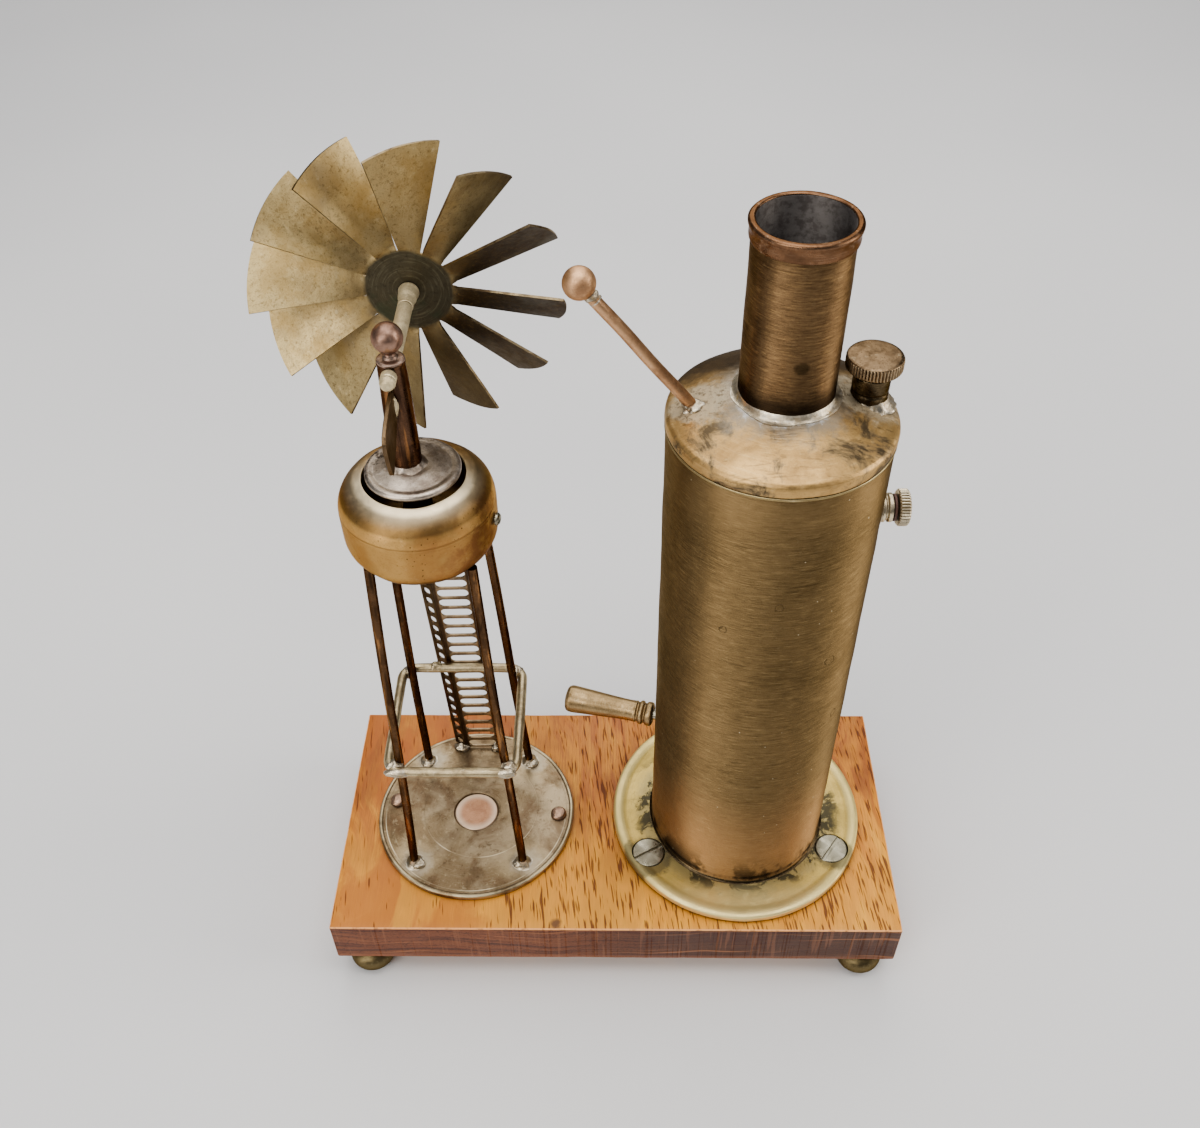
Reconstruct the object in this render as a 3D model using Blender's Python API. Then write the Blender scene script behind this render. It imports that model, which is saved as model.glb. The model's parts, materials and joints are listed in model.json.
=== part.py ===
"""Model steam windmill: a brass boiler blows a jet at a fan wheel on a lattice tower.

Everything stands on one oak base with four brass feet.  The frame is +Z up, the
origin is on the table under the middle of the whole object, and -Y is the front.
"""
import math

import bmesh
import bpy
from mathutils import Matrix, Vector

MM = 0.001
GAP = 0.3 * MM                      # clearance between pieces that touch

# Base and feet
BASE_LENGTH = 140.0 * MM
BASE_DEPTH = 66.5 * MM
BASE_THICKNESS = 14.2 * MM
BASE_X = 0.6 * MM                   # puts the origin under the middle of the whole box
FOOT_HEIGHT = 8.0 * MM
FOOT_RADIUS = 5.9 * MM
FOOT_INSET = (7.8 * MM, 4.6 * MM)    # so each foot stands 1.3 mm proud of the long side
DECK = FOOT_HEIGHT + BASE_THICKNESS  # height of the base's top face

# Tower
TOWER_X = BASE_X - 36.5 * MM
PLATE_RADIUS = 25.5 * MM
PLATE_THICKNESS = 1.0 * MM
PLUG_RADIUS = 5.6 * MM
LEG_RADIUS = 1.05 * MM
LEG_FOOT_CENTRE = (BASE_X - 37.15 * MM, 0.4 * MM)
LEG_FOOT_HALF = (13.75 * MM, 15.9 * MM)
LEG_TOP_HALF = (10.35 * MM, 9.5 * MM)
LEG_TOP = DECK + 98.9 * MM
RAIL_HEIGHT = DECK + 40.0 * MM
RAIL_RADIUS = 1.15 * MM
RAIL_CORNER = 3.0 * MM
LADDER_WIDTH = 9.2 * MM
LADDER_FLANGE = 3.5 * MM
LADDER_BEND = 30.0                  # degrees, flange bent back from the web
LADDER_SLOTS = 27
LADDER_SPREAD = 0.1                 # the slots are this much further apart at the foot, closer at the top
LADDER_SHEET = 0.5 * MM
LADDER_FOOT = (BASE_X - 36.3 * MM, 20.6 * MM, DECK + 1.8 * MM)
LADDER_TOP = (BASE_X - 38.9 * MM, 13.7 * MM, DECK + 98.6 * MM)

# Drum and swivelling head
HEAD_X = BASE_X - 39.3 * MM
DRUM_RADIUS = 15.7 * MM
DRUM_BOTTOM = DECK + 98.0 * MM
DRUM_TOP = DECK + 117.1 * MM
DRUM_MOUTH = 10.3 * MM
DRUM_WALL = 1.0 * MM
TURNTABLE_RADIUS = 9.5 * MM
TURNTABLE_BOTTOM = DECK + 117.3 * MM
POST_X = BASE_X - 40.3 * MM
POST_BOTTOM = DECK + 119.9 * MM
POST_TOP = DECK + 143.8 * MM
POST_RADII = (3.05 * MM, 2.65 * MM)
BALL_HEIGHT = DECK + 148.2 * MM
BALL_RADIUS = 2.9 * MM

# Fan wheel
SHAFT_HEIGHT = DECK + 142.2 * MM
FAN_Y = 25.7 * MM
FAN_RADIUS = 31.1 * MM
FAN_HUB_RADIUS = 8.7 * MM
FAN_SHEET = 0.5 * MM
FAN_BLADES = 12
FAN_PHASE = 112.7                   # degrees, first blade from +X towards +Z
BLADE_HALF_ANGLE = 14.6             # degrees, at the tip
BLADE_NECK = 1.0 * MM               # radial length of the sharp bend at the root
NECK_TWIST = 0.35                   # share of the twist that is made in the neck
# Bent by hand, so each blade has its own twist, place and lean in degrees.
BLADE_TWIST = (56, 52, 44, 40, 46, 47, 42, 44, 45, 50, 49, 41)
BLADE_SHIFT = (2.1, -1.1, -0.6, -0.2, -1.8, -2.1, -2.1, -2.1, -1.0, 3.0, 2.7, 1.9)
BLADE_LEAN = (4.8, 2.8, 2.1, -0.7, -2.5, -2.6, -4.4, -5.0, 0.2, 2.3, 6.0, 7.2)
AXLE_RADIUS = 0.85 * MM

# Boiler
BOILER = (BASE_X + 31.4 * MM, 0.5 * MM)
FLANGE_RADIUS = 31.8 * MM
FLANGE_FACE = DECK + 2.0 * MM
SCREW_CIRCLE = 26.5 * MM
SCREW_HEAD = 4.1 * MM
SCREW_ANGLES = (-149.8, -26.7, 91.7)
SHELL_RADIUS = 21.7 * MM
SHELL_WALL = 0.8 * MM
SHELL_TOP = DECK + 128.4 * MM
CAP_SHOULDER = DECK + 131.5 * MM
CAP_CROWN = DECK + 136.0 * MM
FIREBOX_TOP = DECK + 58.0 * MM
FLUE_RADII = (7.9 * MM, 7.2 * MM)
CHIMNEY_X = BOILER[0] + 0.3 * MM
CHIMNEY_RADII = (8.95 * MM, 8.3 * MM)
CHIMNEY_TOP = DECK + 171.0 * MM
RIM_RADIUS = 9.65 * MM
RIM_HEIGHT = 3.6 * MM

# Steam jet
JET_RADIUS = 1.05 * MM
JET_BORE = 0.55 * MM
JET_FOOT = Vector((BASE_X + 14.4 * MM, 0.0, DECK + 133.2 * MM))
JET_BALL = Vector((BASE_X - 5.9 * MM, 0.0, DECK + 159.1 * MM))
JET_BALL_RADIUS = 3.0 * MM
JET_AIM = Vector((-7.0, 20.0, -12.0)).normalized()

# Filler and level plug
FILLER = (BOILER[0] + 15.9 * MM, BOILER[1] + 1.0 * MM)
FILLER_NECK = (3.5 * MM, 2.1 * MM)
FILLER_NECK_TOP = DECK + 139.5 * MM
FILLER_CAP_RADIUS = 5.3 * MM
FILLER_CAP_TOP = DECK + 143.7 * MM
LEVEL_HEIGHT = DECK + 107.5 * MM
LEVEL_HEAD_RADIUS = 3.8 * MM
LEVEL_REACH = 27.7 * MM             # outer end of the plug, from the boiler's axis

# Spirit burner
FIRE_DOOR_ANGLE = 138.0             # degrees, the way that the burner slides out
FIRE_DOOR_HALF = 33.0
FIRE_DOOR_TOP = DECK + 39.0 * MM
TANK_RADIUS = 10.0 * MM
TANK_BOTTOM = DECK + 3.0 * MM
TANK_TOP = DECK + 21.0 * MM
HANDLE_ANGLE = 166.0
HANDLE_HEIGHT = DECK + 34.3 * MM
HANDLE_START = 22.6 * MM            # from the boiler's axis
HANDLE_LENGTH = 22.3 * MM


def mm(points):
    """Scale a list of points given in millimetres."""
    return [tuple(value * MM for value in point) for point in points]


def make_material(name, colour, roughness, metallic):
    material = bpy.data.materials.new(name)
    material.use_nodes = True
    shader = material.node_tree.nodes["Principled BSDF"]
    shader.inputs["Base Color"].default_value = (*colour, 1.0)
    shader.inputs["Roughness"].default_value = roughness
    shader.inputs["Metallic"].default_value = metallic
    material.diffuse_color = (*colour, 1.0)
    return material


def build_materials():
    return {
        "oak": make_material("oak", (0.42, 0.19, 0.07), 0.5, 0.0),
        "brass_dark": make_material("brass_dark", (0.27, 0.18, 0.09), 0.42, 1.0),
        "brass_gold": make_material("brass_gold", (0.52, 0.34, 0.14), 0.36, 1.0),
        "brass_pale": make_material("brass_pale", (0.55, 0.46, 0.28), 0.38, 1.0),
        "bronze_rod": make_material("bronze_rod", (0.16, 0.09, 0.05), 0.4, 1.0),
        "copper": make_material("copper", (0.55, 0.32, 0.22), 0.4, 1.0),
        "tinned": make_material("tinned", (0.36, 0.32, 0.26), 0.4, 1.0),
        "steel": make_material("steel", (0.5, 0.49, 0.45), 0.35, 1.0),
        "fibre": make_material("fibre", (0.25, 0.1, 0.06), 0.8, 0.0),
        "wick": make_material("wick", (0.75, 0.7, 0.6), 0.95, 0.0),
    }


def face_outward(shape):
    """Make all faces agree, and point them out of the solid."""
    bmesh.ops.recalc_face_normals(shape, faces=shape.faces)
    if shape.calc_volume(signed=True) < 0.0:
        bmesh.ops.reverse_faces(shape, faces=shape.faces)


def add_object(name, mesh_builder, material, origin=(0, 0, 0)):
    """Write the bmesh, given in world places, as one object with its own origin."""
    place = Matrix.Translation(Vector(origin))
    mesh_builder.transform(place.inverted())
    face_outward(mesh_builder)
    mesh = bpy.data.meshes.new(name)
    mesh_builder.to_mesh(mesh)
    mesh_builder.free()
    mesh.materials.append(material)
    mesh.shade_smooth()
    mesh.set_sharp_from_angle(angle=math.radians(35))
    item = bpy.data.objects.new(name, mesh)
    item.matrix_world = place
    bpy.context.scene.collection.objects.link(item)
    return item


def arc(centre, radius, start, end, steps):
    """Points of a circular arc in a turned profile, angles in degrees."""
    points = []
    for step in range(steps + 1):
        angle = math.radians(start + (end - start) * step / steps)
        points.append((centre[0] + radius * math.cos(angle), centre[1] + radius * math.sin(angle)))
    return points


def turned_mesh(profile, base=(0, 0, 0), axis=(0, 0, 1), segments=32):
    """Spin a (radius, height) outline about an axis that starts at base."""
    shape = bmesh.new()
    verts = [shape.verts.new((max(radius, 0.0), 0.0, height)) for radius, height in profile]
    edges = [shape.edges.new(pair) for pair in zip(verts, verts[1:])]
    if profile[0][0] > 0.0:
        edges.append(shape.edges.new((verts[-1], verts[0])))
    bmesh.ops.spin(
        shape,
        geom=verts + edges,
        cent=(0, 0, 0),
        axis=(0, 0, 1),
        angle=math.tau,
        steps=segments,
        use_merge=True,
    )
    bmesh.ops.remove_doubles(shape, verts=shape.verts, dist=1e-6)
    turn = Vector(axis).to_track_quat("Z", "Y").to_matrix().to_4x4()
    shape.transform(Matrix.Translation(Vector(base)) @ turn)
    face_outward(shape)
    return shape


def turned(name, profile, material, base=(0, 0, 0), axis=(0, 0, 1), segments=32, origin=None):
    shape = turned_mesh(profile, base, axis, segments)
    return add_object(name, shape, material, origin if origin is not None else base)


def disc(radius, low, high, edge):
    """Outline of a solid disc with chamfered edges."""
    return [
        (0.0, low),
        (radius - edge, low),
        (radius, low + edge),
        (radius, high - edge),
        (radius - edge, high),
        (0.0, high),
    ]


def tube(outer, inner, low, high):
    """Outline of a plain tube."""
    return [(inner, low), (outer, low), (outer, high), (inner, high)]


def rod(name, start, end, radius, material, segments=10):
    """A straight round rod between two points."""
    length = (Vector(end) - Vector(start)).length
    axis = (Vector(end) - Vector(start)).normalized()
    outline = disc(radius, 0.0, length, radius * 0.12)
    return turned(name, outline, material, start, axis, segments)


def bent_rod(name, points, radius, material, closed=False):
    """A round rod along a line of points, as a curve with a bevel."""
    curve = bpy.data.curves.new(name, "CURVE")
    curve.dimensions = "3D"
    curve.bevel_depth = radius
    curve.bevel_resolution = 2
    curve.use_fill_caps = not closed
    spline = curve.splines.new("POLY")
    spline.points.add(len(points) - 1)
    for point, place in zip(spline.points, points):
        point.co = (*place, 1.0)
    spline.use_cyclic_u = closed
    curve.materials.append(material)
    item = bpy.data.objects.new(name, curve)
    bpy.context.scene.collection.objects.link(item)
    return item


def box_mesh(low, high):
    shape = bmesh.new()
    bmesh.ops.create_cube(shape, size=1.0)
    size = Vector(high) - Vector(low)
    centre = (Vector(high) + Vector(low)) / 2
    shape.transform(Matrix.Translation(centre) @ Matrix.Diagonal((*size, 1.0)))
    return shape


def joined(shapes):
    """One bmesh holding several separate closed bodies, for use as a cutter."""
    whole = bmesh.new()
    for shape in shapes:
        face_outward(shape)
        mesh = bpy.data.meshes.new("joined_part")
        shape.to_mesh(mesh)
        shape.free()
        whole.from_mesh(mesh)
        bpy.data.meshes.remove(mesh)
    return whole


def cut(target, name, shape):
    """Subtract a shape, whose faces point outward, with an exact Boolean."""
    mesh = bpy.data.meshes.new(name)
    shape.to_mesh(mesh)
    shape.free()
    cutter = bpy.data.objects.new(name, mesh)
    bpy.context.scene.collection.objects.link(cutter)
    cutter.hide_render = True
    cutter.display_type = "WIRE"
    modifier = target.modifiers.new(name, "BOOLEAN")
    modifier.operation = "DIFFERENCE"
    modifier.solver = "EXACT"
    modifier.object = cutter
    return cutter


def around(centre, radius, degrees, height):
    angle = math.radians(degrees)
    return Vector((centre[0] + radius * math.cos(angle), centre[1] + radius * math.sin(angle), height))


# ---------------------------------------------------------------- base and feet

def foot_places():
    half_x = BASE_LENGTH / 2 - FOOT_INSET[0]
    half_y = BASE_DEPTH / 2 - FOOT_INSET[1]
    return {
        "foot_front_left": (BASE_X - half_x, -half_y),
        "foot_front_right": (BASE_X + half_x, -half_y),
        "foot_back_left": (BASE_X - half_x, half_y),
        "foot_back_right": (BASE_X + half_x, half_y),
    }


def screw_places():
    return [around(BOILER, SCREW_CIRCLE, angle, FLANGE_FACE) for angle in SCREW_ANGLES]


def screw_outline(grow):
    """Countersunk wood screw below a flat head; grow gives the hole it needs."""
    head = SCREW_HEAD + grow
    shank = 1.5 * MM + grow
    top = 0.25 * MM + (grow * 4.0)
    return [
        (0.0, -11.0 * MM - grow),
        (shank * 0.5, -11.0 * MM - grow),
        (shank, -8.0 * MM),
        (shank, -3.0 * MM - grow),
        (head, -0.5 * MM - grow),
        (head, top),
        (0.0, top),
    ]


def build_base(mat):
    low = (BASE_X - BASE_LENGTH / 2, -BASE_DEPTH / 2, FOOT_HEIGHT)
    high = (BASE_X + BASE_LENGTH / 2, BASE_DEPTH / 2, DECK)
    shape = box_mesh(low, high)
    bmesh.ops.bevel(
        shape,
        geom=shape.edges[:],
        offset=0.5 * MM,
        segments=1,
        affect="EDGES",
        profile=0.5,
    )
    base = add_object("oak_base", shape, mat["oak"], (BASE_X, 0, FOOT_HEIGHT))
    holes = []
    for x, y in foot_places().values():
        stud_hole = disc(1.9 * MM, -1.0 * MM, 6.5 * MM, 0.2 * MM)
        holes.append(turned_mesh(stud_hole, (x, y, FOOT_HEIGHT), segments=10))
    for place in screw_places():
        holes.append(turned_mesh(screw_outline(GAP), place, segments=14))
    for x, y in pin_places():
        holes.append(turned_mesh(disc(0.9 * MM, -8.0 * MM, 3.0 * MM, 0.1 * MM), (x, y, DECK), segments=8))
    cut(base, "base_holes_cutter", joined(holes))

    outline = [
        (0.0, 0.0),
        (3.6 * MM, 0.0),
        *arc((FOOT_RADIUS - 3.0 * MM, 3.9 * MM), 3.0 * MM, -60, 60, 4),
        (3.2 * MM, FOOT_HEIGHT - GAP - 0.5 * MM),
        (3.2 * MM, FOOT_HEIGHT - GAP),
        (1.6 * MM, FOOT_HEIGHT - GAP),
        (1.6 * MM, FOOT_HEIGHT + 6.0 * MM),
        (0.0, FOOT_HEIGHT + 6.0 * MM),
    ]
    for name, (x, y) in foot_places().items():
        turned(name, outline, mat["brass_gold"], (x, y, 0.0), segments=16)


# ---------------------------------------------------------------------- tower

def pin_places():
    return [(TOWER_X - 20.9 * MM, 3.0 * MM), (TOWER_X + 21.7 * MM, -1.0 * MM)]


def leg_line(side_x, side_y):
    foot = Vector((
        LEG_FOOT_CENTRE[0] + side_x * LEG_FOOT_HALF[0],
        LEG_FOOT_CENTRE[1] + side_y * LEG_FOOT_HALF[1],
        DECK + GAP + PLATE_THICKNESS + GAP,
    ))
    top = Vector((HEAD_X + 0.5 * MM + side_x * LEG_TOP_HALF[0], side_y * LEG_TOP_HALF[1], LEG_TOP))
    return foot, top


def build_tower_plate(mat):
    low = DECK + GAP
    high = low + PLATE_THICKNESS
    rim = high + 0.25 * MM
    outline = [
        (PLUG_RADIUS + GAP, low),
        (PLATE_RADIUS, low),
        (PLATE_RADIUS, rim - 0.2 * MM),
        (PLATE_RADIUS - 0.3 * MM, rim),
        (PLATE_RADIUS - 0.9 * MM, rim),
        (PLATE_RADIUS - 1.3 * MM, high),
        (PLUG_RADIUS + GAP, high),
    ]
    plate = turned("tower_plate", outline, mat["tinned"], (TOWER_X, 0, 0), segments=40)
    holes = [
        turned_mesh(disc(1.0 * MM, -1.0 * MM, 3.0 * MM, 0.1 * MM), (x, y, DECK), segments=8)
        for x, y in pin_places()
    ]
    cut(plate, "plate_holes_cutter", joined(holes))
    plug = disc(PLUG_RADIUS, low, high - 0.3 * MM, 0.1 * MM)
    turned("centre_plug", plug, mat["copper"], (TOWER_X, 0, 0), segments=24)
    pin = [
        (0.0, -7.0 * MM),
        (0.6 * MM, -6.0 * MM),
        (0.6 * MM, 1.6 * MM),
        (2.1 * MM, 1.6 * MM),
        (1.7 * MM, 2.2 * MM),
        (0.9 * MM, 2.6 * MM),
        (0.0, 2.7 * MM),
    ]
    for name, (x, y) in zip(("plate_pin_left", "plate_pin_right"), pin_places()):
        turned(name, pin, mat["steel"], (x, y, DECK), segments=12)


def build_legs_and_rail(mat):
    corners = {"front_left": (-1, -1), "front_right": (1, -1), "back_left": (-1, 1), "back_right": (1, 1)}
    at_rail = []
    for name, (side_x, side_y) in corners.items():
        foot, top = leg_line(side_x, side_y)
        rod("tower_leg_" + name, foot, top, LEG_RADIUS, mat["bronze_rod"])
        at_rail.append(foot.lerp(top, (RAIL_HEIGHT - foot.z) / (top.z - foot.z)))

    # The rail is a ring of rod that runs round the outside of the four legs.
    reach = LEG_RADIUS + RAIL_RADIUS + GAP + 0.05 * MM
    left = min(place.x for place in at_rail) - reach
    right = max(place.x for place in at_rail) + reach
    front = min(place.y for place in at_rail) - reach
    back = max(place.y for place in at_rail) + reach
    points = []
    for x, y, start in ((right, back, 0), (left, back, 90), (left, front, 180), (right, front, 270)):
        inner_x = x - math.copysign(RAIL_CORNER, x - HEAD_X)
        inner_y = y - math.copysign(RAIL_CORNER, y)
        for px, py in arc((inner_x, inner_y), RAIL_CORNER, start, start + 90, 5):
            points.append((px, py, RAIL_HEIGHT))
    bent_rod("gallery_rail", points, RAIL_RADIUS, mat["brass_pale"], closed=True)


def build_ladder(mat):
    """A slotted strip with one slotted flange, leaning from plate to drum."""
    foot = Vector(LADDER_FOOT)
    top = Vector(LADDER_TOP)
    length = (top - foot).length
    lean = Matrix.Rotation(math.atan2(foot.y - top.y, top.z - foot.z), 4, "X")
    aside = Matrix.Rotation(math.atan2(top.x - foot.x, top.z - foot.z), 4, "Y")
    place = Matrix.Translation(foot) @ aside @ lean

    half = LADDER_WIDTH / 2
    sheet = LADDER_SHEET
    bend = math.radians(LADDER_BEND)
    across = LADDER_FLANGE * math.cos(bend)
    back = LADDER_FLANGE * math.sin(bend)
    outline = [
        (half, 0.0),
        (half, sheet),
        (-half + sheet * math.tan(bend / 2), sheet),
        (-half - across + sheet * math.sin(bend), back + sheet * math.cos(bend)),
        (-half - across, back),
        (-half, 0.0),
    ]
    shape = bmesh.new()
    face = shape.faces.new([shape.verts.new((x, y, 0.0)) for x, y in outline])
    grown = bmesh.ops.extrude_face_region(shape, geom=[face])
    risen = [item for item in grown["geom"] if isinstance(item, bmesh.types.BMVert)]
    bmesh.ops.translate(shape, verts=risen, vec=(0, 0, length))
    shape.transform(place)
    ladder = add_object("ladder", shape, mat["bronze_rod"], foot)

    pitch = length / LADDER_SLOTS
    slot_half = pitch * 0.33
    web_half = LADDER_WIDTH / 2 - 1.0 * MM
    web_slots = []
    flange_slots = []
    for number in range(LADDER_SLOTS):
        share = (number + 0.5) / LADDER_SLOTS
        middle = length * share * (1.0 + LADDER_SPREAD * (1.0 - share))
        web = box_mesh((-web_half, -1.0 * MM, middle - slot_half), (web_half, 2.0 * MM, middle + slot_half))
        upright = [edge for edge in web.edges if abs(edge.verts[0].co.y - edge.verts[1].co.y) > 1.0 * MM]
        bmesh.ops.bevel(web, geom=upright, offset=slot_half * 0.6, segments=1, affect="EDGES", profile=0.5)
        web_slots.append(web)
        # The flange's slots go through it square to its slope.
        hole = box_mesh((-0.9 * MM, -2.0 * MM, -slot_half), (0.9 * MM, 2.0 * MM, slot_half))
        centre = (-half - across / 2, back / 2, middle)
        hole.transform(Matrix.Translation(centre) @ Matrix.Rotation(-bend, 4, "Z"))
        flange_slots.append(hole)
    for name, shapes in (("ladder_web_cutter", web_slots), ("ladder_flange_cutter", flange_slots)):
        whole = joined(shapes)
        whole.transform(place)
        cut(ladder, name, whole)


# ------------------------------------------------------------ drum and head

def build_drum(mat):
    low_corner = 6.2 * MM
    top_corner = 6.8 * MM
    wall = DRUM_WALL
    bush_hole = 3.3 * MM
    low_centre = (DRUM_RADIUS - low_corner, DRUM_BOTTOM + low_corner)
    top_centre = (DRUM_RADIUS - top_corner, DRUM_TOP - top_corner)
    mouth_outer = math.degrees(math.acos((DRUM_MOUTH - top_centre[0]) / top_corner))
    mouth_inner = math.degrees(math.acos((DRUM_MOUTH - top_centre[0]) / (top_corner - wall)))
    outline = [
        (bush_hole, DRUM_BOTTOM),
        *arc(low_centre, low_corner, -90, 0, 4),
        *arc(top_centre, top_corner, 0, mouth_outer, 4),
        *arc(top_centre, top_corner - wall, mouth_inner, 0, 2),
        *arc(low_centre, low_corner - wall, 0, -90, 2),
        (bush_hole, DRUM_BOTTOM + wall),
    ]
    drum = turned("drum", outline, mat["brass_gold"], (HEAD_X, 0, 0), segments=32)

    screw_direction = around((0, 0), 1.0, -10, 0.0)
    screw_seat = Vector((HEAD_X, 0, DECK + 107.5 * MM)) + screw_direction * (DRUM_RADIUS + GAP)
    hole = turned_mesh(disc(0.9 * MM, -3.0 * MM, 1.0 * MM, 0.1 * MM), screw_seat, screw_direction, 12)
    cut(drum, "drum_hole_cutter", hole)
    screw = [
        (0.0, -2.6 * MM),
        (0.6 * MM, -2.4 * MM),
        (0.6 * MM, 0.0),
        (1.3 * MM, 0.0),
        (1.1 * MM, 0.6 * MM),
        (0.5 * MM, 0.9 * MM),
        (0.0, 0.95 * MM),
    ]
    turned("drum_screw", screw, mat["steel"], screw_seat, screw_direction, 10)

    bush = [
        (1.9 * MM, DRUM_BOTTOM - 0.9 * MM),
        (4.6 * MM, DRUM_BOTTOM - 0.9 * MM),
        (4.6 * MM, DRUM_BOTTOM - GAP),
        (3.0 * MM, DRUM_BOTTOM - GAP),
        (3.0 * MM, TURNTABLE_BOTTOM - GAP),
        (1.9 * MM, TURNTABLE_BOTTOM - GAP),
    ]
    turned("pivot_bush", bush, mat["brass_pale"], (HEAD_X, 0, 0), segments=18)


def build_head(mat):
    bottom = TURNTABLE_BOTTOM
    outline = [
        (0.0, bottom),
        (TURNTABLE_RADIUS - 0.4 * MM, bottom),
        (TURNTABLE_RADIUS, bottom + 0.5 * MM),
        (TURNTABLE_RADIUS, bottom + 1.1 * MM),
        (TURNTABLE_RADIUS - 0.5 * MM, bottom + 1.55 * MM),
        (7.0 * MM, bottom + 2.0 * MM),
        (4.0 * MM, bottom + 2.25 * MM),
        (0.0, bottom + 2.3 * MM),
    ]
    turned("turntable", outline, mat["tinned"], (HEAD_X, 0, 0), segments=32)

    pin_low = DRUM_BOTTOM - 4.2 * MM
    pin = disc(1.55 * MM, pin_low, bottom - GAP, 0.2 * MM)
    turned("swivel_pin", pin, mat["steel"], (HEAD_X, 0, 0), segments=12)
    nut = bmesh.new()
    nut_low = DRUM_BOTTOM - 3.6 * MM
    nut_high = DRUM_BOTTOM - 0.9 * MM - GAP
    bmesh.ops.create_cone(
        nut,
        cap_ends=True,
        segments=6,
        radius1=3.6 * MM,
        radius2=3.6 * MM,
        depth=nut_high - nut_low,
    )
    nut.transform(Matrix.Translation((HEAD_X, 0, (nut_high + nut_low) / 2)))
    nut_object = add_object("swivel_nut", nut, mat["brass_pale"], (HEAD_X, 0, 0))
    bore = turned_mesh(disc(1.85 * MM, nut_low - MM, nut_high + MM, 0.1 * MM), (HEAD_X, 0, 0), segments=12)
    cut(nut_object, "nut_bore_cutter", bore)

    post_outline = [
        (0.0, POST_BOTTOM),
        (POST_RADII[0], POST_BOTTOM),
        (POST_RADII[1], POST_TOP - 0.2 * MM),
        (POST_RADII[1] - 0.2 * MM, POST_TOP),
        (0.0, POST_TOP),
    ]
    post = turned("post", post_outline, mat["bronze_rod"], (POST_X, 0, 0), segments=20)
    bore_outline = disc(AXLE_RADIUS + GAP, -5.0 * MM, 5.0 * MM, 0.1 * MM)
    bore = turned_mesh(bore_outline, (POST_X, 0, SHAFT_HEIGHT), (0, 1, 0), 10)
    cut(post, "post_bore_cutter", bore)

    ball = [
        (0.0, POST_TOP + GAP),
        (1.5 * MM, POST_TOP + GAP),
        *arc((0.0, BALL_HEIGHT), BALL_RADIUS, -58, 90, 8)[:-1],
        (0.0, BALL_HEIGHT + BALL_RADIUS),
    ]
    turned("post_ball", ball, mat["copper"], (POST_X, 0, 0), segments=20)

    sleeve = tube(1.5 * MM, AXLE_RADIUS + GAP, POST_RADII[0] + GAP, FAN_Y - 6.6 * MM)
    turned("bearing_sleeve", sleeve, mat["brass_pale"], (POST_X, 0, SHAFT_HEIGHT), (0, 1, 0), 14)

    vane_outline = mm([
        (-3.4, 0.0), (-8.0, -0.4), (-13.0, -1.2), (-15.7, -2.6), (-15.6, -5.2),
        (-14.7, -9.0), (-13.4, -12.2), (-12.2, -12.0), (-7.6, -9.4), (-3.4, -6.4),
    ])
    vane = bmesh.new()
    thickness = 0.8 * MM
    ring = [
        vane.verts.new((POST_X - thickness / 2, y, SHAFT_HEIGHT + z - 2.6 * MM))
        for y, z in vane_outline
    ]
    face = vane.faces.new(ring)
    grown = bmesh.ops.extrude_face_region(vane, geom=[face])
    moved = [item for item in grown["geom"] if isinstance(item, bmesh.types.BMVert)]
    bmesh.ops.translate(vane, verts=moved, vec=(thickness, 0, 0))
    add_object("tail_vane", vane, mat["bronze_rod"], (POST_X, 0, SHAFT_HEIGHT))


# ------------------------------------------------------------------- fan wheel

def bent_point(number, radial, side, bend):
    """Point of a blade: radial from the hub, side -1 to 1 across, bend 0 to 1 of its twist."""
    angle = math.radians(FAN_PHASE + 360.0 / FAN_BLADES * number)
    reach = radial - FAN_HUB_RADIUS
    angle += math.radians(BLADE_SHIFT[number]) * bend
    out = Vector((math.cos(angle), 0, math.sin(angle)))
    across = Vector((-math.sin(angle), 0, math.cos(angle)))
    front = Vector((0, -1, 0))
    lean = math.radians(BLADE_LEAN[number])
    twist = math.radians(BLADE_TWIST[number]) * bend
    slit = FAN_RADIUS * (math.sin(math.radians(180.0 / FAN_BLADES)) - math.sin(math.radians(BLADE_HALF_ANGLE)))
    half_width = radial * math.sin(math.radians(180.0 / FAN_BLADES)) - slit
    offset = side * half_width
    along = math.sqrt(radial * radial - offset * offset)
    place = out * along + front * (math.sin(lean) * reach)
    place += (across * math.cos(twist) + front * math.sin(twist)) * offset
    return place


def blade_point(number, radial, side):
    """Middle surface of one blade, bent at its neck and ruled from there to its tip."""
    neck = FAN_HUB_RADIUS + BLADE_NECK
    if radial <= neck:
        share = max(radial - FAN_HUB_RADIUS, 0.0) / BLADE_NECK
        return bent_point(number, radial, side, NECK_TWIST * share)
    start = bent_point(number, neck, side, NECK_TWIST)
    end = bent_point(number, FAN_RADIUS, side, 1.0)
    return start.lerp(end, (radial - neck) / (FAN_RADIUS - neck))


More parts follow.
